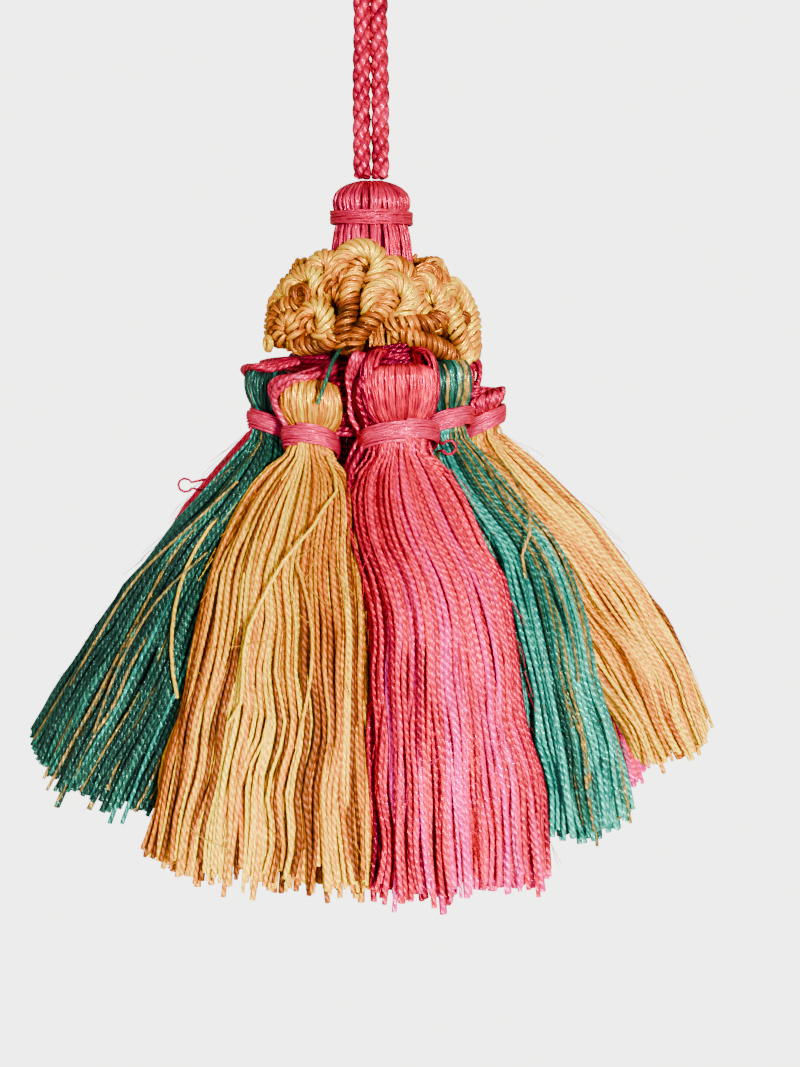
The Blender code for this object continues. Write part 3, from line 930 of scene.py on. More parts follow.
# Each point of a route is an azimuth, a depth and a lift off the ruff's surface, both in mm.
# fmt: off
OVERS = [
    Over((0.55, 0.70, 0.90, 0.65), [(-21, 58.0, .1), (-22, 56.0, .3), (-15, 54.7, .4),
        (-4, 54.5, .4), (6, 55.5, .3), (6, 57.4, .2), (1, 58.6, 0)]),
    Over((0.25, 0.15, 0.30), [(-14, 59.0, -.9), (-9, 57.8, -1), (-3, 57.6, -1), (0, 59.0, -1)]),
    Over((0.90, 0.65, 0.45), [(-41, 57.8, -.2), (-46, 56.6, .1), (-38, 55.6, .1), (-29, 56.0, .1),
        (-26, 57.4, 0), (-27, 59.2, -.4)]),
    Over((0.65, 0.80, 0.70), [(-60, 59.8, 0), (-60, 58.2, .2), (-48, 57.4, .4), (-37, 58.0, .3),
        (-33, 59.8, -.2)]),
    Over((0.60, 0.75, 0.45), [(-77, 62.0, 0), (-77, 60.2, .1), (-64, 59.3, .1), (-52, 60.4, -.3)]),
    Over((0.45, 0.75, 0.60), [(-37, 63.6, 0), (-36, 61.8, .4), (-28, 61.4, .4), (-23, 62.8, .3),
        (-24, 64.6, .2), (-31, 65.8, -.3)]),
    Over((0.45, 0.75, 0.95, 0.80), [(0, 61.9, 0), (1, 60.0, .3), (9, 58.6, .5), (18, 58.4, .5),
        (24, 59.9, .4), (22, 61.5, .3), (16, 62.7, 0)]),
    Over((0.50, 0.75, 0.75), [(24, 61.4, 0), (27, 59.4, .3), (36, 58.3, .3), (45, 59.4, .3),
        (45, 61.4, .3), (38, 63.2, 0)]),
    Over((0.60, 0.85, 0.70, 0.85), [(52, 60.2, 0), (66, 58.9, .1), (79, 60.4, .1), (78, 62.8, .1),
        (72, 64.8, .2), (68, 67.4, 0)]),
    Over((0.60, 0.50, 0.45), [(8, 57.4, -.6), (17, 56.4, -.2), (27, 57.2, -.2), (31, 59.4, -.6)]),
    Over((0.30, 0.35, 0.55), [(32, 59.0, -.4), (40, 57.4, 0), (51, 57.6, 0), (58, 59.6, -.4)]),
]
TIGHT_OVERS = [
    Over((0.90, 0.75, 0.30, 0.25, 0.60), [(-9, 57.8, -.4), (-12, 59.2, .2), (-11, 61.0, .3),
        (-12, 63.2, .3), (-14, 65.6, 0)]),
    Over((0.60, 0.45, 0.30), [(-46, 61.4, 0), (-56, 61.4, .3), (-63, 62.8, .3), (-60, 64.8, 0)]),
    Over((0.55, 0.57, 0.52), [(-52, 65.6, 0), (-52, 64.0, .5), (-46, 62.8, .6), (-41, 63.6, .5),
        (-41, 65.4, .2)]),
    Over((0.25, 0.22, 0.70), [(-42, 66.0, -.2), (-32, 65.9, .1), (-23, 65.5, .1), (-16, 64.6, -.2)]),
    Over((0.80, 0.28, 0.22), [(12, 60.8, -.7), (7, 61.8, -.2), (1, 62.9, .1), (-5, 64.3, .1),
        (-10, 66.0, 0)]),
    Over((0.50, 0.75, 0.25), [(30, 60.8, -.6), (31, 61.9, -.2), (33, 63.4, -.2)]),
    Over((0.60, 0.80, 0.65, 0.90), [(46, 60.2, -.1), (51, 62.0, .3), (51, 64.2, .4),
        (55, 66.0, .3), (60, 67.8, 0)]),
    Over((0.85, 0.15, 0.85), [(14, 63.1, 0), (22, 63.4, .3), (31, 63.3, .4), (41, 62.7, .2)]),
    Over((0.85, 0.20, 0.65), [(17, 64.2, -.3), (22, 64.9, .2), (30, 65.5, .4), (39, 66.4, .4),
        (48, 67.8, .1)]),
]
# fmt: on

# %% Rules for those ropes
ROPE_TUCK = -3.0  # how far in a rope's two ends go, in mm


def on_ruff(azimuth, depth, lift):
    """A point this far off the ruff's surface. The depth and the lift are in mm."""
    depth *= MM
    return polar(row_at(RUFF_SWELL, depth).radius + lift * MM, azimuth, -depth)


def tones_along(tones, count):
    """The tones of a rope, spread over its points."""
    spread = []
    for i in range(count):
        at = (len(tones) - 1) * i / (count - 1)
        low = min(int(at), len(tones) - 2)
        spread.append(mix(tones[low], tones[low + 1], at - low))
    return spread


BACK_AZIMUTHS = range(90, 285, 13)


def back_overs(shuffle):
    """Ropes for the sides and the back, like those in front."""
    overs = []
    for azimuth in BACK_AZIMUTHS:
        depth = shuffle.uniform(55.0, 60.0)
        lean = shuffle.uniform(-9.0, 9.0)
        reach = shuffle.uniform(2.0, 3.0)
        route = [(azimuth + lean * i, depth + reach * i, -0.1 + 0.1 * i) for i in range(4)]
        route.insert(0, (azimuth + 5.0, depth + 0.4, -0.8))
        overs.append(Over([shuffle.uniform(0.1, 1.0) for _ in range(3)], route))
    return overs


print("ropes over the loops:", len(OVERS) + len(TIGHT_OVERS), "in front")


# %% Make one rope, and give it plies
def over_rope(shuffle, over, thick):
    """A rope over the loops, with both ends tucked in."""
    route = [on_ruff(*point) for point in over.route]
    first, last = [on_ruff(*end[:2], ROPE_TUCK) for end in (over.route[0], over.route[-1])]
    path = smooth_path([first, *route, last], 0.0010)
    return strand(shuffle, path, tones_along(over.tones, len(path)), thick)


def ruff_rope(ropes, **lay):
    """The ropes with their plies, and a dark core that shows between the plies."""
    # Painted shade: the cores take dye 0, the darkest colour of the bath, to show dark between the plies.
    cores = [one._replace(dye=[0.0] * len(one.path)) for one in ropes]
    return [
        spin(ropes, LAID_ROPE, YARNS["rope_gold"], **lay),
        spin(cores, SPUN_STRAND, YARNS["rope_gold"], radius=CORE_R, step=0.0010),
    ]


# %% Lay the ruff's rope
CORE_R = 0.0008
HOLLOW_LOOP = 16  # left out in front, where the ruff has a dark hollow
RINGS = ((0.0078, -0.0605), (0.0092, -0.0628), (0.0090, -0.0655))  # radius and height
RING_STEPS = 36
RING_UNEVEN = 0.0003
shuffle = random.Random(12)
tight = []
for number, loop in enumerate(ruff_loops()):
    tones = [shuffle.uniform(0.20, 0.70) for _ in range(3)]
    if number != HOLLOW_LOOP:
        tight.append(strand(shuffle, loop, tones_along(tones, len(loop)), 0.9))
for radius, z in RINGS:
    ring = []
    for step in range(RING_STEPS + 1):
        wobble = RING_UNEVEN * math.sin(1.7 * step)
        ring.append(polar(radius + wobble, 360.0 * step / RING_STEPS, z + wobble))
    tight.append(strand(shuffle, ring, 0.1, 1.0))
tight += [over_rope(shuffle, over, 0.95) for over in TIGHT_OVERS]
loose = [over_rope(shuffle, over, 0.90) for over in OVERS + back_overs(shuffle)]
ruff_meshes = ruff_rope(
    tight,
    plies=3,
    pitch=0.0023,
    lay_radius=0.00096,
    ply_radius=0.00038,
    sides=5,
    step=0.00020,
    dye_spread=0.60,
    dye_length=0.0035,
)
ruff_meshes += ruff_rope(
    loose,
    plies=5,
    pitch=0.0044,
    lay_radius=0.00094,
    ply_radius=0.00040,
    sides=5,
    step=0.00034,
    dye_spread=0.60,
    dye_length=0.0040,
)

# %% Add the ruff's small details
Eyelet = namedtuple("Eyelet", "azimuth depth radius tone")  # a small ring of thread
EYELETS = [Eyelet(-39, 60.0, 0.00115, 0.25), Eyelet(-58, 65.9, 0.00080, 0.80)]
EYELET_LIFT = 1.6  # off the ruff's surface, in mm
EYELET_STEPS = 14
shuffle = random.Random(13)
details = []
for eyelet in EYELETS:
    centre = on_ruff(eyelet.azimuth, eyelet.depth, EYELET_LIFT)
    side = polar(1.0, eyelet.azimuth + 90.0, 0.0)
    ring = []
    for step in range(EYELET_STEPS + 2):
        angle = 2 * math.pi * step / EYELET_STEPS
        ring.append(centre + eyelet.radius * (math.cos(angle) * side + math.sin(angle) * UP))
    details.append(strand(shuffle, ring, eyelet.tone, 1.0))

HOLLOW_THREADS = 22  # they cross the hollow in front
HOLLOW_ROUTE = ((0.0100, -0.0610), (0.0112, -0.0630), (0.0118, -0.0648), (0.0120, -0.0664))
for number in range(HOLLOW_THREADS):
    azimuth = shuffle.uniform(0.0, 20.0)
    route = []
    for radius, z in HOLLOW_ROUTE:
        route.append(polar(radius, azimuth, z) + wander(number, -300.0 * z, 0.0010))
    details.append(strand(shuffle, route, shuffle.uniform(0.15, 0.62), 0.45))
details_mesh = spin(details, SPUN_STRAND, YARNS["rope_gold"], step=0.0006)
piece("ruff_rope", [*ruff_meshes, details_mesh], "ruff")

# %% [markdown]
# ## The small tassels
#
# A small tassel is a hank of strands, folded over its tie and bound at the neck. Below the
# binding the strands spread to a cut hem. Each strand keeps its place in the hank: a turn round
# it and a depth under its surface. The deeper ones come to the surface lower down, where the
# skirt is wider, so the strands stay the same distance apart from neck to hem.
#
# Hair curves could be combed into this shape, but a rule keeps every strand where the solid has
# it. One row of a table places each small tassel, unevenly, as hand-made ones stand. The solids
# were made from a table of the same kind. Some rows differ from theirs by a millimetre or two,
# where the strands hang better so.

# %% Where the small tassels hang
# neck, ring and neck_z place the neck: its azimuth, its distance to the axis and its height. The
# folded head is fold high and swells by swell. The hem runs from azimuth left to right. It lies
# reach from the axis, is depth thick and hangs drop under the neck. bow is how fully the skirt
# bows out on its way down, and tie is the azimuth where its tie leaves the stem.
Small = namedtuple(
    "Small", "name yarn neck ring neck_z fold swell left right reach depth drop bow tie"
)
# fmt: off
SMALL_TASSELS = [
    Small("teal_left", "teal", -65, .0133, -.0768, .0072, 0.98, -98, -43.5, .0455, .017, .0415, .15, -58),
    Small("gold_left", "gold", -28, .0150, -.0775, .0072, 0.88, -42.5, 0.4, .0420, .017, .0460, .85, -24),
    Small("pink_front", "pink", 13, .0154, -.0772, .0108, 1.06, 1.0, 33.0, .0425, .017, .0470, .90, -4),
    Small("teal_right", "teal", 43.5, .0134, -.0758, .0076, 0.82, 33.4, 48.5, .0430, .018, .0445, .90, 31),
    Small("gold_right", "gold", 82, .0142, -.0764, .0036, 0.84, 72, 97, .0450, .010, .0415, .72, 69),
    Small("pink_right", "pink", 132, .0130, -.0768, .0074, 1.00, 96, 141, .0420, .014, .0525, .80, 107),
    Small("teal_back", "teal", 167, .0150, -.0765, .0062, 1.00, 142, 184, .0430, .017, .0430, .75, 163),
    Small("gold_back", "gold", 208, .0150, -.0770, .0078, 0.90, 185, 226, .0440, .017, .0440, .85, 188),
    Small("pink_left", "pink", 247, .0138, -.0764, .0060, 1.00, 227, 261, .0430, .017, .0435, .70, 256),
]
# fmt: on
WIDE_NECKS = {"pink_front": 1.18}  # wider under its head than the others
NECK_BORDERS = (-54, -2, 45, 69, 107, 149.5, 187.5, 228.5, 261)  # to the right of each neck
NECK_HALF_WIDTH = 0.0030
NECK_HALF_DEPTH = 0.0027
BINDING_HALF = 0.00130  # half its height
print("small tassels:", len(SMALL_TASSELS))

# %% How a head swells and a skirt flares
NECK_TILT = 0.50
HEM_TILT = 0.34
SKIRT_WIDEN = 0.012
TWIST_DROP = 0.030  # how far under its neck a skirt has reached its own place in the ring
OVERLAP = 0.0004  # how far neighbouring skirts mingle at their sides
# A fold's row gives its size at a share of the head's rise. A flare's row gives, at a share of
# the skirt's drop, how far its outer and inner sides have come, how much of its room it fills,
# and how square its section is.
Fold = namedtuple("Fold", "rise half_width half_depth")
FOLDS = [
    Fold(0.00, NECK_HALF_WIDTH, NECK_HALF_DEPTH),
    Fold(0.18, 0.0041, 0.0035),
    Fold(0.46, 0.0046, 0.0039),
    Fold(0.74, 0.0045, 0.0036),
    Fold(0.92, 0.0040, 0.0026),
    Fold(1.00, 0.0030, 0.0010),
]
Flare = namedtuple("Flare", "down outer inner fill square")
FLARES = [
    Flare(0.00, 0.000, 0.00, 0.00, 2.0),
    Flare(0.05, 0.070, 0.01, 0.60, 2.0),
    Flare(0.12, 0.185, 0.05, 1.00, 2.2),
    Flare(0.32, 0.470, 0.20, 1.00, 2.4),
    Flare(0.55, 0.730, 0.45, 1.00, 2.7),
    Flare(0.78, 0.915, 0.76, 1.00, 2.9),
    Flare(1.00, 1.000, 1.00, 1.00, 3.0),
    Flare(1.10, 1.010, 1.06, 1.00, 3.0),
]

# %% A point inside a small tassel
Place = namedtuple("Place", "z inner outer half_width fill square tilt")


def neck_size(small):
    """The half width and half depth of a neck."""
    size = small.swell * WIDE_NECKS.get(small.name, 1.0)
    return NECK_HALF_WIDTH * size, NECK_HALF_DEPTH * size


def neck_border(index, neighbour):
    """The azimuth where a skirt first meets its neighbour, -1 for the left one and 1 for the right."""
    here = SMALL_TASSELS[index].neck
    border = NECK_BORDERS[index if neighbour > 0 else index - 1]
    return here + (border - here + 180.0) % 360.0 - 180.0  # less than half a turn from here


def place_point(index, place, turn, sink=0.0, core=1.0):
    """A point of a section at this turn (radians, 0 facing out), sunk under the surface.

    core scales the section about its middle, to reach the strands inside.
    """
    small = SMALL_TASSELS[index]
    middle_r = (place.inner + place.outer) / 2
    half_depth = ((place.outer - place.inner) / 2 - sink) * core
    side, out = math.sin(turn), math.cos(turn)
    side = math.copysign(abs(side) ** (2 / place.square), side)
    out = math.copysign(abs(out) ** (2 / place.square), out)
    radius = middle_r + half_depth * out
    z = place.z + place.tilt * (radius - middle_r)
    twist = smooth((small.neck_z - z) / TWIST_DROP)
    left = mix(neck_border(index, -1), small.left, twist)
    right = mix(neck_border(index, 1), small.right, twist)
    room = (right - left) / 2 + math.degrees((OVERLAP - sink) / radius)
    own = math.degrees((place.half_width - sink) / middle_r)
    half = min(mix(own, room, place.fill), room) * core
    centre = mix(small.neck, (left + right) / 2, smooth(twist * 1.5))
    return polar(radius, centre + half * side, z)


# %% The sections of a small tassel
def fold_place(index, rise):
    """The section of a folded head at this share of its rise over the binding."""
    small = SMALL_TASSELS[index]
    fold = row_at(FOLDS, rise)
    z = small.neck_z + mix(BINDING_HALF, small.fold, rise)
    half_depth = fold.half_depth * small.swell
    inner, outer = small.ring - half_depth, small.ring + half_depth
    return Place(z, inner, outer, fold.half_width * small.swell, 0.0, 2.0, NECK_TILT)


def flare_place(index, down):
    """The section of a skirt this far down, from 0 at its binding to 1 at its hem."""
    small = SMALL_TASSELS[index]
    flare = row_at(FLARES, down)
    flared = mix(down, flare.outer, small.bow)
    half_width, half_depth = neck_size(small)
    outer = mix(small.ring + half_depth, small.reach, flared)
    inner = mix(small.ring - half_depth, small.reach - small.depth, flare.inner)
    width = half_width + SKIRT_WIDEN * flare.outer
    z = small.neck_z - mix(BINDING_HALF, small.drop, down)
    tilt = mix(NECK_TILT, HEM_TILT, down)
    return Place(z, inner, outer, width, flare.fill, flare.square, tilt)


def neck_place(index, rise):
    """The section of a neck this far over the middle of its binding."""
    small = SMALL_TASSELS[index]
    half_width, half_depth = neck_size(small)
    inner, outer = small.ring - half_depth, small.ring + half_depth
    return Place(small.neck_z + rise, inner, outer, half_width, 0.0, 2.0, NECK_TILT)


# %% The paths of a skirt's strands
SKIRT_STRANDS = 216  # round the hem
LAYERS = (0, 2, 1, 3)  # how deep a strand starts at the neck, for four neighbours
LAYER_DEPTH = 0.0007
EMERGE = (0.0, 0.13, 0.34, 0.64)  # how far down each layer reaches the surface
SKIRT_STATIONS = (0.0, 0.04, 0.09, 0.16, 0.24, 0.33, 0.43, 0.54, 0.66, 0.78, 0.89)
HEM_SAMPLES = 360
LOCKS = 190.0  # how finely strands gather in locks, in changes a metre
LOCK_SIZE = 0.0009
LONG_WAVES, LONG_SWAY = 2.6, 0.0007  # a strand's own waves from neck to hem, and their size
SHORT_WAVES, SHORT_SWAY = 9.0, 0.0004


def even_turns(index, count):
    """Turns that lie the same distance apart round the hem."""
    place = flare_place(index, 1.0)
    turns = [2 * math.pi * i / HEM_SAMPLES - math.pi for i in range(HEM_SAMPLES + 1)]
    points = [place_point(index, place, turn) for turn in turns]
    travelled = [0.0]
    for a, b in zip(points, points[1:]):
        travelled.append(travelled[-1] + (b - a).length)
    spaced, at = [], 0
    for i in range(count):
        goal = travelled[-1] * (i + 0.5) / count
        while travelled[at + 1] < goal:
            at += 1
        share = (goal - travelled[at]) / (travelled[at + 1] - travelled[at])
        spaced.append(mix(turns[at], turns[at + 1], share))
    return spaced


def skirt_path(index, turn, layer, seed, sink, cut, lean=0.0):
    """A strand from the neck, or from where it comes to light, to its cut end.

    It comes back as how far down each point is, and the points.
    """
    start = max(0.0, EMERGE[layer] - 0.20) if layer else 0.0
    downs = [start, *[down for down in SKIRT_STATIONS if down > start + 0.03], cut]
    path = []
    for down in downs:
        rise = smooth((down - start) / (EMERGE[layer] - start)) if layer else 1.0
        depth = mix(STRAND_R + LAYER_DEPTH * layer, sink, rise)
        point = place_point(index, flare_place(index, down), turn + lean * (down - 0.5), depth)
        lock = noise.noise_vector(LOCKS * point + Vector((0.0, 0.0, 5.0 * index)))
        loose = smooth(1.4 * down)
        point += LOCK_SIZE * loose * lock + wander(seed, LONG_WAVES * down, LONG_SWAY * loose)
        path.append(point + wander(seed + 0.5, SHORT_WAVES * down, SHORT_SWAY * loose))
    if not layer:
        downs.insert(0, 0.0)
        path.insert(0, place_point(index, neck_place(index, 0.0), turn, STRAND_R))
    return downs, path


# %% Dye for a strand
# A tone's row gives the dye at the top and at the hem, how far it spreads at both, what its two
# side edges add to it as painted shade, and the share of odd gold threads.
Tone = namedtuple("Tone", "top hem top_spread hem_spread edge accents")
TONES = {
    "teal_left": Tone(0.33, 0.25, 0.18, 0.14, 0.0, 0.15),
    "gold_left": Tone(0.74, 0.54, 0.20, 0.42, 0.0, 0.0),
    # pink_front's edge of -0.42 is painted shade that darkens both sides of its skirt.
    "pink_front": Tone(0.48, 0.60, 0.09, 0.22, -0.42, 0.0),
    "teal_right": Tone(0.54, 0.64, 0.16, 0.16, 0.0, 0.34),
    "gold_right": Tone(0.60, 0.70, 0.30, 0.30, 0.0, 0.0),
    "pink_right": Tone(0.50, 0.74, 0.10, 0.20, 0.0, 0.0),
    "teal_back": Tone(0.32, 0.48, 0.12, 0.16, 0.0, 0.20),
    "gold_back": Tone(0.58, 0.66, 0.18, 0.34, 0.0, 0.0),
    "pink_left": Tone(0.42, 0.70, 0.10, 0.22, 0.0, 0.0),
}
ODD_STRANDS = 0.28  # the share of strands much darker or lighter than their neighbours
CUT_END, CUT_END_LENGTH = 0.90, 0.10  # where a strand grows lighter towards its cut end
CUT_END_LIFT = 0.14
PLAIN_TEAL = 0.76  # as light as a teal strand may be, so that it does not turn gold
ACCENT_DYE = 0.85  # from here up, the teal bath holds the gold of its odd threads


def dye_along(shuffle, index, turn, downs, shift=0.0):
    """The dye at these places of a strand: its neighbours are alike, and it drifts on its way."""
    tone = TONES[SMALL_TASSELS[index].name]
    if shuffle.random() < tone.accents:
        return [shuffle.uniform(ACCENT_DYE, 1.0)] * len(downs)
    highest = PLAIN_TEAL if tone.accents else 1.0
    own = shuffle.gauss(0.0, 0.6)
    if shuffle.random() < ODD_STRANDS:
        own += shuffle.choice((-1.6, 1.4))
    seed = shuffle.uniform(0.0, 100.0)
    dyes = []
    for down in downs:
        share = smooth(1.35 * down)
        spot = Vector((3.2 * math.cos(turn), 3.2 * math.sin(turn), 4.1 * index + 0.8 * down))
        drift = noise.noise(Vector((seed, 3.0 * down, 1.9)))
        spread = mix(tone.top_spread, tone.hem_spread, share)
        # Painted shade: edge darkens the dye towards the two sides of a skirt.
        dye = shift + mix(tone.top, tone.hem, share) + tone.edge * abs(math.sin(turn)) ** 5
        dye += spread * (own + 1.1 * noise.noise(spot) + 0.9 * drift)
        dye += CUT_END_LIFT * smooth((down - CUT_END) / CUT_END_LENGTH)
        dyes.append(min(dye, highest))
    return dyes


# %% The strands of a skirt
SURFACE_DEPTH = 0.0012  # how deep the surface of a skirt goes
ACCENT_THICK = 0.52
SLUB = 0.16  # how much a strand's thickness changes
HEM_WAVE = 0.028
HEM_RAGGED = 0.016


def hem_cut(shuffle, turn, index):
    """How far down a strand is cut: the hem is trimmed by eye."""
    uneven = noise.noise(Vector((3.0 * turn, 2.0 * index, 9.0)))
    return 1.0 + HEM_WAVE * uneven + shuffle.gauss(0.0, HEM_RAGGED)


def skirt_strands(shuffle, index):
    """The strands on the surface of a skirt."""
    made = []
    for number, turn in enumerate(even_turns(index, SKIRT_STRANDS)):
        turn += shuffle.uniform(-0.03, 0.03)
        layer = LAYERS[number % len(LAYERS)]
        sink = STRAND_R + SURFACE_DEPTH * shuffle.random() ** 1.6
        cut = hem_cut(shuffle, turn, index)
        lean = shuffle.gauss(0.0, 0.06)
        downs, path = skirt_path(index, turn, layer, 100 * index + number, sink, cut, lean)
        dye = dye_along(shuffle, index, turn, downs)
        own = shuffle.uniform(0.58, 0.88) if min(dye) < ACCENT_DYE else ACCENT_THICK
        thick = []
        for down in downs:
            slub = 1.0 + SLUB * noise.noise(Vector((number, 7.0 * down, 4.0 * index)))
            thick.append(own * slub * mix(0.78, 1.0, smooth(2.5 * down)))
        made.append(strand(shuffle, path, dye, thick))
    return made


# %% The strands inside a skirt
UNDER_SINK = 0.0016
UNDER_SHADE = 0.15  # painted shade: how much darker they are than those on the surface
HEM_ENDS = 230
END_SINK = 0.0022
END_THICK = 0.85
END_STRAY = 0.0008
GOLDEN_ANGLE = 2.399963  # in radians: turn after turn, it spreads points evenly over a disc


def filling_strands(shuffle, index):
    """Plain strands just under the surface, and the cut ends inside the hem."""
    under, ends = [], []
    for number, turn in enumerate(even_turns(index, SKIRT_STRANDS // 2)):
        cut = hem_cut(shuffle, turn, index)
        downs, path = skirt_path(index, turn, 0, 7000 + number, UNDER_SINK, cut)
        dye = [value - UNDER_SHADE for value in dye_along(shuffle, index, turn, downs)]
        under.append(strand(shuffle, path, dye, 1.0))
    for number in range(HEM_ENDS):
        core = math.sqrt((number + 0.5) / HEM_ENDS)
        turn = number * GOLDEN_ANGLE
        path = []
        downs = (0.72, 0.86, hem_cut(shuffle, turn, index) - 0.01 * (1 - core))
        for down in downs:
            point = place_point(index, flare_place(index, down), turn, END_SINK, core)
            path.append(point + wander(900 * index + number, 3.0 * down, END_STRAY))
        ends.append(strand(shuffle, path, dye_along(shuffle, index, turn, downs), END_THICK))
    return under, ends


# %% The strands of a folded head
FOLD_THICK = 0.62
FOLD_SHIFT = -0.16  # the heads look darker than the tops of the skirts
OPEN_FOLD = "pink_front"  # its tie shows through the top of its fold
OPEN_TURN = math.radians(44.0)
OPEN_RISES = (0.0, 0.2, 0.42, 0.60, 0.68)
OPEN_TOP = 0.70
OPEN_DIP = ((0.0009, 0.0002), (0.0020, 0.0012), (0.0028, 0.0030))  # inward and down
FOLD_RISES = (0.0, 0.2, 0.46, 0.74, 0.92, 1.0)
FOLD_CREST = 0.0003  # how far the strands stand over the top of the fold
FOLD_STRAY = 0.0003


def dipping_strand(shuffle, index, turn, sink):
    """A strand in the middle of a head that stays open: it dips in over the tie."""
    path = [place_point(index, fold_place(index, rise), turn, sink) for rise in OPEN_RISES]
    for inward, drop in OPEN_DIP:
        place = fold_place(index, OPEN_TOP)
        path.append(place_point(index, place, turn, sink + inward) - drop * UP)
    dye = dye_along(shuffle, index, turn, [0.0] * len(path), FOLD_SHIFT)
    return strand(shuffle, path, dye, FOLD_THICK)


def fold_strands(shuffle, index, count, sink):
    """The strands of a folded head: up its front, over the fold and down its back."""
    is_open = SMALL_TASSELS[index].name == OPEN_FOLD
    made = []
    for number in range(count):
        turn = math.pi * (number + 0.5 + shuffle.uniform(-0.2, 0.2)) / count - math.pi / 2
        if is_open and abs(turn) < OPEN_TURN:
            made.append(dipping_strand(shuffle, index, turn, sink))
            continue
        places = [neck_place(index, 0.0), *[fold_place(index, rise) for rise in FOLD_RISES]]
        front = [place_point(index, place, turn, sink) for place in places]
        rear = [place_point(index, place, math.pi - turn, sink) for place in reversed(places)]
        side = place_point(index, places[-1], math.copysign(math.pi / 2, turn), sink)
        middle = place_point(index, places[-1], 0.0, sink, 0.0)
        crest = mix(middle, side, abs(math.sin(turn))) + FOLD_CREST * UP
        seed = 31 * index + number
        path = [
            point + wander(seed, 0.4 * i, FOLD_STRAY)
            for i, point in enumerate([*front, crest, *rear])
        ]
        dye = dye_along(shuffle, index, turn, [0.0] * len(path), FOLD_SHIFT)
        made.append(strand(shuffle, path, dye, FOLD_THICK))
    return made


# %% The mass inside a small tassel
HANK_SIDES = 20
HANK_RISES = (1.0, 0.84, 0.53, 0.21)  # shares of how high it reaches in the head
HANK_DOWNS = ((0.0, 0.0010), (0.1, 0.0018), (0.3, 0.0022), (0.6, 0.0024), (0.88, 0.0026))


def hank_core(index, material):
    """The mass of strands inside, so that nothing shines through."""
    small = SMALL_TASSELS[index]
    turns = [2 * math.pi * i / HANK_SIDES for i in range(HANK_SIDES)]
    rings = []
    highest = 0.55 if small.name == OPEN_FOLD else 0.95
    for share in HANK_RISES:
        place = fold_place(index, share * highest)
        rings.append([place_point(index, place, turn, CORE_SINK, 0.9) for turn in turns])
    for down, sink in HANK_DOWNS:
        place = flare_place(index, down)
        rings.append([place_point(index, place, turn, sink) for turn in turns])
    return loft(f"core_{small.name}", rings, material)


# %% Where the strays lie
# fmt: off
# A stray's route gives how far down the skirt it is, its turn in degrees and its lift in mm.
Stray = namedtuple("Stray", "name dye thick route")
STRAYS = [
    Stray("gold_left", 1.0, .52, [(.02, 46, .4), (.10, 40, .6), (.16, 30, .8), (.22, 24, 1.1),
        (.29, 14, 1.2), (.37, 6, 1.0), (.48, 0, .9), (.61, 0, .6), (.66, -3, -.2)]),
    Stray("gold_left", .90, .50, [(.09, -70, .2), (.16, -62, .9), (.23, -62, 1.8),
        (.29, -64, 2.6), (.37, -62, 3.0), (.46, -58, 2.6), (.56, -54, 1.4), (.64, -52, 0)]),
    Stray("gold_left", .80, .45, [(.30, 20, .3), (.42, 25, .7), (.55, 24, .7), (.70, 18, .1)]),
    Stray("teal_right", .98, .50, [(.06, 60, .2), (.12, 40, .8), (.19, 6, 1.2), (.26, -6, 1.2),
        (.31, -24, 1.0), (.34, -40, .6), (.40, -48, 0)]),
    Stray("teal_right", .93, .40, [(.10, 0, .2), (.22, -16, .7), (.36, -22, .8), (.52, -16, .5),
        (.66, -12, 0)]),
    Stray("teal_left", .97, .42, [(.15, 30, .2), (.30, 22, .8), (.48, 10, .9), (.66, 4, .5),
        (.80, 2, 0)]),
    Stray("teal_left", .93, .40, [(.35, 50, .2), (.50, 36, .8), (.68, 30, .6), (.85, 34, .1)]),
]
# fmt: on

# %% Strays, fuzz and a loose end
FUZZ = 120  # loose fibres on each skirt
FUZZ_THICK = 0.11
FUZZ_LENGTH = 0.06  # as a share of the skirt
END_YARN = "teal_left"  # whose loose end hangs over the head beside it
LOOSE_END = [
    (0.0118, -14.0, -0.0655),
    (0.0160, -14.4, -0.0670),
    (0.0184, -14.6, -0.0688),
    (0.0195, -15.6, -0.0705),
    (0.0198, -17.2, -0.0722),
]
LOOSE_END_DYE = 0.44


def hank_point(index, share, turn, lift):
    """A point on a folded head, or on the skirt where the share is below zero.

    The turn is in degrees and the lift in mm.
    """
    place = fold_place(index, share) if share >= 0 else flare_place(index, -share)
    return place_point(index, place, math.radians(turn), -lift * MM)


def stray_strands(shuffle, index):
    """Strands that have slipped out of their places, and the fine fibres that stand off."""
    name = SMALL_TASSELS[index].name
    strays, fuzz = [], []
    for stray in STRAYS:
        if stray.name == name:
            path = [hank_point(index, -down, turn, lift) for down, turn, lift in stray.route]
            strays.append(strand(shuffle, path, stray.dye, stray.thick))
    if name == END_YARN:
        path = [polar(*point) for point in LOOSE_END]
        strays.append(strand(shuffle, path, LOOSE_END_DYE, FOLD_THICK))
    for number in range(FUZZ):
        down, turn = shuffle.uniform(0.05, 0.95), shuffle.uniform(-math.pi, math.pi)
        reach, swing = shuffle.uniform(0.0002, 0.0009), shuffle.gauss(0.0, 0.18)
        path = []
        for at in (0.0, 0.35, 0.7, 1.0):
            place = flare_place(index, down + FUZZ_LENGTH * at)
            path.append(place_point(index, place, turn + swing * at * at, -reach * at))
        dye = dye_along(shuffle, index, turn, [down] * len(path))
        fuzz.append(strand(shuffle, path, dye, FUZZ_THICK))
    return strays, fuzz


# %% Make the small tassels
FOLD_FRONT = 40  # strands on the surface of a head
FOLD_UNDER = 14  # and just under them
FOLD_UNDER_SINK = 0.0009


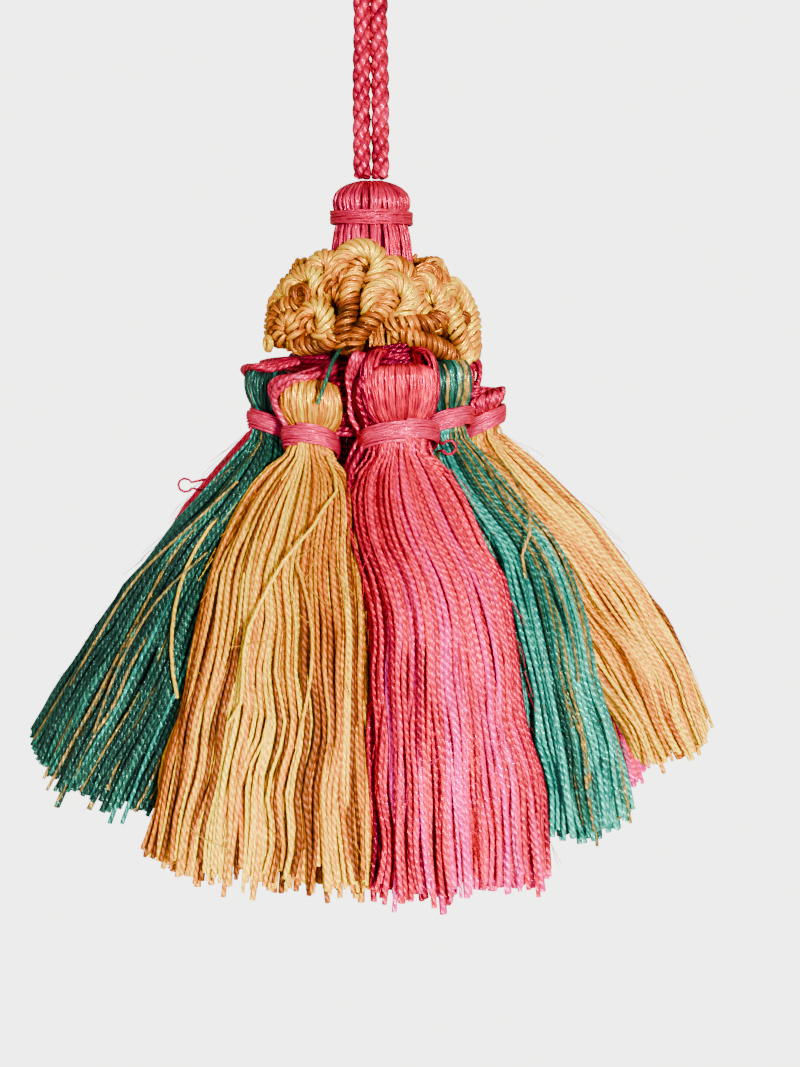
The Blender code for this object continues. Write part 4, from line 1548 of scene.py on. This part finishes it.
def make_small_tassel(index):
    """A small tassel with all its strands, as one piece."""
    small = SMALL_TASSELS[index]
    yarn, taut = YARNS[small.yarn], YARNS[f"taut_{small.yarn}"]
    shuffle = random.Random(1000 + index)
    surface = skirt_strands(shuffle, index)
    under, ends = filling_strands(shuffle, index)
    strays, fuzz = stray_strands(shuffle, index)
    folded = fold_strands(shuffle, index, FOLD_FRONT, STRAND_R)
    folded_under = fold_strands(shuffle, index, FOLD_UNDER, FOLD_UNDER_SINK)
    meshes = [
        spin(surface + strays, SPUN_STRAND, yarn, step=0.0026, sides=5),
        spin(fuzz, SPUN_STRAND, yarn, step=0.0015, sides=3),
        spin(folded, SPUN_STRAND, taut, step=0.0009, sides=5),
        spin(under, SPUN_STRAND, yarn, step=0.0035, sides=4),
        spin(folded_under, SPUN_STRAND, taut, step=0.0012, sides=4),
        spin(ends, SPUN_STRAND, yarn, step=0.005, sides=5),
        hank_core(index, yarn),
    ]
    piece(f"yarn_{small.name}", meshes, f"tassel_{small.name}")


for index in range(len(SMALL_TASSELS)):
    make_small_tassel(index)

# %% [markdown]
# ## Bindings and ties
#
# A binding is one silky thread, wound eight times round a neck. A tie is a slack hank of threads,
# which leaves the stem under the ruff and goes through the fold of a head. It hangs as it likes,
# so the ties in front follow short lists of points on the heads that they carry, and the four
# behind share one. Here and there a thread has slipped out and curled up.

# %% Wind the bindings
BINDING_TURNS = 8
BINDING_LIFT = 0.00035
BINDING_BULGE = 0.0002
BINDING_UNEVEN = 0.00012


def make_binding(index):
    """The thread wound round a neck."""
    small = SMALL_TASSELS[index]
    shuffle = random.Random(2000 + index)
    thread = BINDING_HALF / (BINDING_TURNS - 0.4)  # half its width
    path, dye = [], []
    for step in range(TURN_STEPS * BINDING_TURNS + 1):
        share = step / (TURN_STEPS * BINDING_TURNS)
        height = mix(BINDING_HALF - thread, thread - BINDING_HALF, share)
        height += BINDING_UNEVEN * math.sin(5.3 * step / TURN_STEPS + index)
        turn = 2 * math.pi * step / TURN_STEPS
        lift = GAP + BINDING_LIFT + BINDING_BULGE * math.cos(math.pi * (share - 0.5))
        path.append(place_point(index, neck_place(index, height), turn, -lift))
        dye.append(0.78 + 0.2 * noise.noise(Vector((0.9 * step, index, 3.3))))
    winding = [strand(shuffle, path, dye, 1.15 * thread / STRAND_R)]
    mesh = spin(winding, SPUN_STRAND, YARNS["rose_thread"], step=0.0006)
    piece(f"winding_{small.name}", [mesh], f"binding_{small.name}")


for index in range(len(SMALL_TASSELS)):
    make_binding(index)

# %% The ties' routes
TIE_Z = -0.0679
TIE_OUT_R = 0.0095
TIE_THICK = 0.85
TIE_SPACING = 0.0015
TIE_STRAY = 0.0002
ON_THE_HEAD = 0.8  # a route that starts over this rise starts from the stem
Tie = namedtuple("Tie", "name strands spread dyes route")
# Each point of a route is how far up the fold it is, or with a minus sign how far down the
# skirt; its turn round the head in degrees; and how far it lies off the surface in mm.
PLAIN_TIE = [(.90, -16, .4), (.70, -28, .4), (.46, -39, .4), (.20, -46, .4), (0, -48, 0)]
TIES = [
    Tie("teal_left", 10, 16, (.4, .9), [(.92, 26, .2), (.87, 0, .1), (.76, -32, .1), (.54, -60, -.4)]),
    Tie("gold_left", 12, 17, (.4, .95), [(.97, 2, .7), (.85, -20, .6), (.68, -38, .5),
        (.48, -52, .5), (.28, -60, .4), (.0, -64, .3)]),
    Tie("pink_front", 4, 3, (.5, .9), [(.93, -80, .6), (.72, -96, .9), (.48, -98, 1.1),
        (.2, -98, 1.4), (0, -98, 1.5), (-.02, -98, 1.4), (-.07, -98, .6), (-.11, -96, -.3)]),
    Tie("pink_front", 9, 16, (.1, .5), [(.60, -76, .0), (.35, -80, .4), (.0, -84, .7),
        (-.01, -86, .6), (-.05, -86, .0), (-.09, -84, -.6)]),
    Tie("teal_right", 5, 10, (.2, .6), [(1.05, -120, .5), (.95, -150, .4), (.7, 180, .2)]),
    Tie("gold_right", 12, 34, (.4, .9), [(.98, -50, .3), (.80, -62, .4), (.50, -68, .4),
        (.20, -70, .3), (.05, -70, .0)]),
    *[Tie(small.name, 5, 9, (.25, .7), PLAIN_TIE) for small in SMALL_TASSELS[5:]],
]


def tie_strands(shuffle, index, tie):
    """The strands of a tie, side by side, out from the stem and over the head."""
    made = []
    for number in range(tie.strands):
        offset = 2.0 * number / (tie.strands - 1) - 1.0
        lift = 0.45 * math.sin(2.4 * number)
        route = []
        for share, turn, rest in tie.route:
            slack = rest + lift * (share > 0.6)
            route.append(hank_point(index, share, turn + tie.spread * offset, slack))
        if tie.route[0][0] > ON_THE_HEAD:
            start_z = min(TIE_Z, route[0].z + 0.0010)
            azimuth = SMALL_TASSELS[index].tie + 4.0 * offset
            route.insert(0, polar(TIE_OUT_R, azimuth, start_z + 0.0003 * lift))
            route.insert(0, polar(STEM_R, azimuth, TIE_Z + 0.0003 * lift))
        seed = 50 * index + number
        path = smooth_path(route, TIE_SPACING)
        path = [point + wander(seed, 0.5 * i, TIE_STRAY) for i, point in enumerate(path)]
        dye = [shuffle.uniform(*tie.dyes) for _ in range(3)]
        made.append(strand(shuffle, path, tones_along(dye, len(path)), TIE_THICK))
    return made


# %% Curled threads, and threads behind the open fold
Curl = namedtuple("Curl", "name radius azimuth z size")
CURLS = [
    Curl("pink_front", 0.0190, 29.5, -0.0775, 0.00085),
    Curl("teal_left", 0.0246, -87.0, -0.0846, 0.00090),
]
CURL_STEPS = 15
CURL_FIRST, CURL_TURN = 25.0, 22.0  # the ring's first angle and the angle of a step
CURL_DYE = 0.5
CURL_THICK = 0.45


def curled_thread(shuffle, curl):
    """A loose thread that has twisted up into a little ring, with both ends in the skirt."""
    middle = polar(curl.radius, curl.azimuth, curl.z)
    inward = polar(-1.0, curl.azimuth, 0.0)
    side = Vector((math.copysign(1.0, inward.x), 0.0, 0.0))
    ring = []
    for step in range(CURL_STEPS):
        turn = math.radians(CURL_FIRST + CURL_TURN * step)
        ring.append(middle + curl.size * (math.cos(turn) * side + math.sin(turn) * UP))
    first, last = [middle + curl.size * (3.0 * inward + rise * UP) for rise in (0.9, -0.9)]
    return strand(shuffle, [first, *ring, last], CURL_DYE, CURL_THICK)


BEHIND_THREADS = 18
BEHIND_TOP, BEHIND_BOTTOM = -0.0660, -0.0704
BEHIND_STRAY = 0.0005
BEHIND_ROUTE = (
    (STEM_R, -4), (0.0102, -2), (0.0126, 6), (0.0132, 15), (0.0128, 26), (0.0110, 34)
)  # fmt: skip


def threads_behind(shuffle):
    """Dark threads of the open fold's own tie, which pass behind its opening."""
    made = []
    for number in range(BEHIND_THREADS):
        z = mix(BEHIND_TOP, BEHIND_BOTTOM, number / (BEHIND_THREADS - 1))
        path = []
        for i, (radius, azimuth) in enumerate(BEHIND_ROUTE):
            path.append(polar(radius, azimuth, z) + wander(number + 0.3, 0.8 * i, BEHIND_STRAY))
        # Painted shade: these threads take the dark end of the rose dye, so the open fold looks shaded
        # inside.
        made.append(strand(shuffle, path, shuffle.uniform(0.0, 0.4), TIE_THICK))
    return made


# %% Run the ties
def make_tie(index):
    """The ties of one small tassel, as one piece."""
    name = SMALL_TASSELS[index].name
    shuffle = random.Random(3000 + index)
    hank = threads_behind(shuffle) if name == OPEN_FOLD else []
    for tie in TIES:
        if tie.name == name:
            hank += tie_strands(shuffle, index, tie)
    hank += [curled_thread(shuffle, curl) for curl in CURLS if curl.name == name]
    mesh = spin(hank, SPUN_STRAND, YARNS["rose"], step=0.0006)
    piece(f"hank_{name}", [mesh], f"tie_{name}")


for index in range(len(SMALL_TASSELS)):
    make_tie(index)
print("triangles in all:", sum(TRIANGLES.values()))

# %% [markdown]
# ## Light and backdrop
#
# Silky yarn shows by its highlights, so the main light is small and stands right of the camera.
# Soft ones at the sides and above keep the shadows open. The floor sweeps up into a wall all
# round, far enough out that it stands behind the tassel from every side. A real sheet of paper
# that bright would wash the colours out, so it gives off less light than the camera sees.

# %% The paper
PAPER_SEEN = (4.6, 4.5, 4.4, 1.0)  # what the camera sees of the paper
PAPER_LIGHT = (0.95, 0.92, 0.90, 1.0)  # what it adds to the light on the tassel


def studio_paper():
    """Pale paper that stays bright behind the tassel without washing its colours out."""
    material = bpy.data.materials.new("studio paper")
    material.use_nodes = True
    tree = material.node_tree
    shader = tree.nodes["Principled BSDF"]
    seen = tree.nodes.new("ShaderNodeLightPath").outputs["Is Camera Ray"]
    glow = add(tree, "ShaderNodeMix", {"Factor": seen}, data_type="RGBA")
    glow.inputs["A"].default_value = PAPER_LIGHT
    glow.inputs["B"].default_value = PAPER_SEEN
    tree.links.new(glow.outputs["Result"], shader.inputs["Emission Color"])
    shader.inputs["Emission Strength"].default_value = 1.0
    shader.inputs["Base Color"].default_value = (0.10, 0.10, 0.10, 1.0)
    shader.inputs["Roughness"].default_value = 0.95
    shader.inputs["Specular IOR Level"].default_value = 0.0
    return material


# %% The floor and wall
FLOOR_Z = -0.32
WALL_R = 1.1
WALL_TOP = 0.98
SWEEP_R = 0.4  # of the bend between floor and wall
SWEEP_STEPS = 8
BOWL_SIDES = 64


def studio_bowl():
    """The floor and wall in one sheet, seen from inside."""
    profile = []
    for step in range(SWEEP_STEPS + 1):
        angle = math.pi / 2 * step / SWEEP_STEPS
        radius = WALL_R - SWEEP_R + SWEEP_R * math.sin(angle)
        profile.append((radius, FLOOR_Z + SWEEP_R * (1.0 - math.cos(angle))))
    profile.append((WALL_R, WALL_TOP))
    bm = bmesh.new()
    middle = bm.verts.new((0.0, 0.0, FLOOR_Z))
    rings = []
    for radius, z in profile:
        ring = [polar(radius, 90.0 + 360.0 * side / BOWL_SIDES, z) for side in range(BOWL_SIDES)]
        rings.append([bm.verts.new(point) for point in ring])
    for side in range(BOWL_SIDES):
        after = (side + 1) % BOWL_SIDES
        bm.faces.new((middle, rings[0][side], rings[0][after]))
        for inner, outer in zip(rings, rings[1:]):
            bm.faces.new((inner[side], outer[side], outer[after], inner[after]))
    mesh = bpy.data.meshes.new("studio")
    bm.to_mesh(mesh)
    bm.free()
    mesh.shade_smooth()
    mesh.materials.append(studio_paper())
    bowl = bpy.data.objects.new("studio", mesh)
    bpy.context.scene.collection.objects.link(bowl)
    bowl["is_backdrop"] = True
    print("floor and wall:", len(mesh.polygons), "faces")


studio_bowl()


# %% The lights
def soft_light(name, place, size, power, colour):
    """A square light of this size, turned to the tassel."""
    data = bpy.data.lights.new(name, "AREA")
    data.size = size
    data.energy = power
    data.color = colour
    light = bpy.data.objects.new(name, data)
    light.location = place
    light.rotation_euler = (LOOK_AT - Vector(place)).to_track_quat("-Z", "Y").to_euler()
    bpy.context.scene.collection.objects.link(light)


soft_light("key", (0.12, -0.42, -0.025), 0.05, 11.5, (1.0, 0.97, 0.94))
soft_light("side", (-0.50, -0.20, 0.10), 0.40, 0.7, (1.0, 0.95, 0.90))
soft_light("far side", (0.45, 0.10, 0.10), 0.40, 1.2, (0.95, 0.97, 1.0))
soft_light("top", (0.0, 0.10, 0.50), 0.50, 0.6, (1.0, 1.0, 1.0))
world = bpy.data.worlds.new("studio world")
world.use_nodes = True
sky = world.node_tree.nodes["Background"]
sky.inputs["Color"].default_value = (1.0, 0.98, 0.96, 1.0)
sky.inputs["Strength"].default_value = 0.45
bpy.context.scene.world = world
print("lights:", len(bpy.data.lights))

# %% [markdown]
# ## Finish
#
# The box of the solids and the box of what was made are printed, side by side.

# %% Print the sizes and finish
for corner in zip(cad_box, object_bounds()):
    print("solids' corner and pieces' corner:", [[round(v, 4) for v in one] for one in corner])
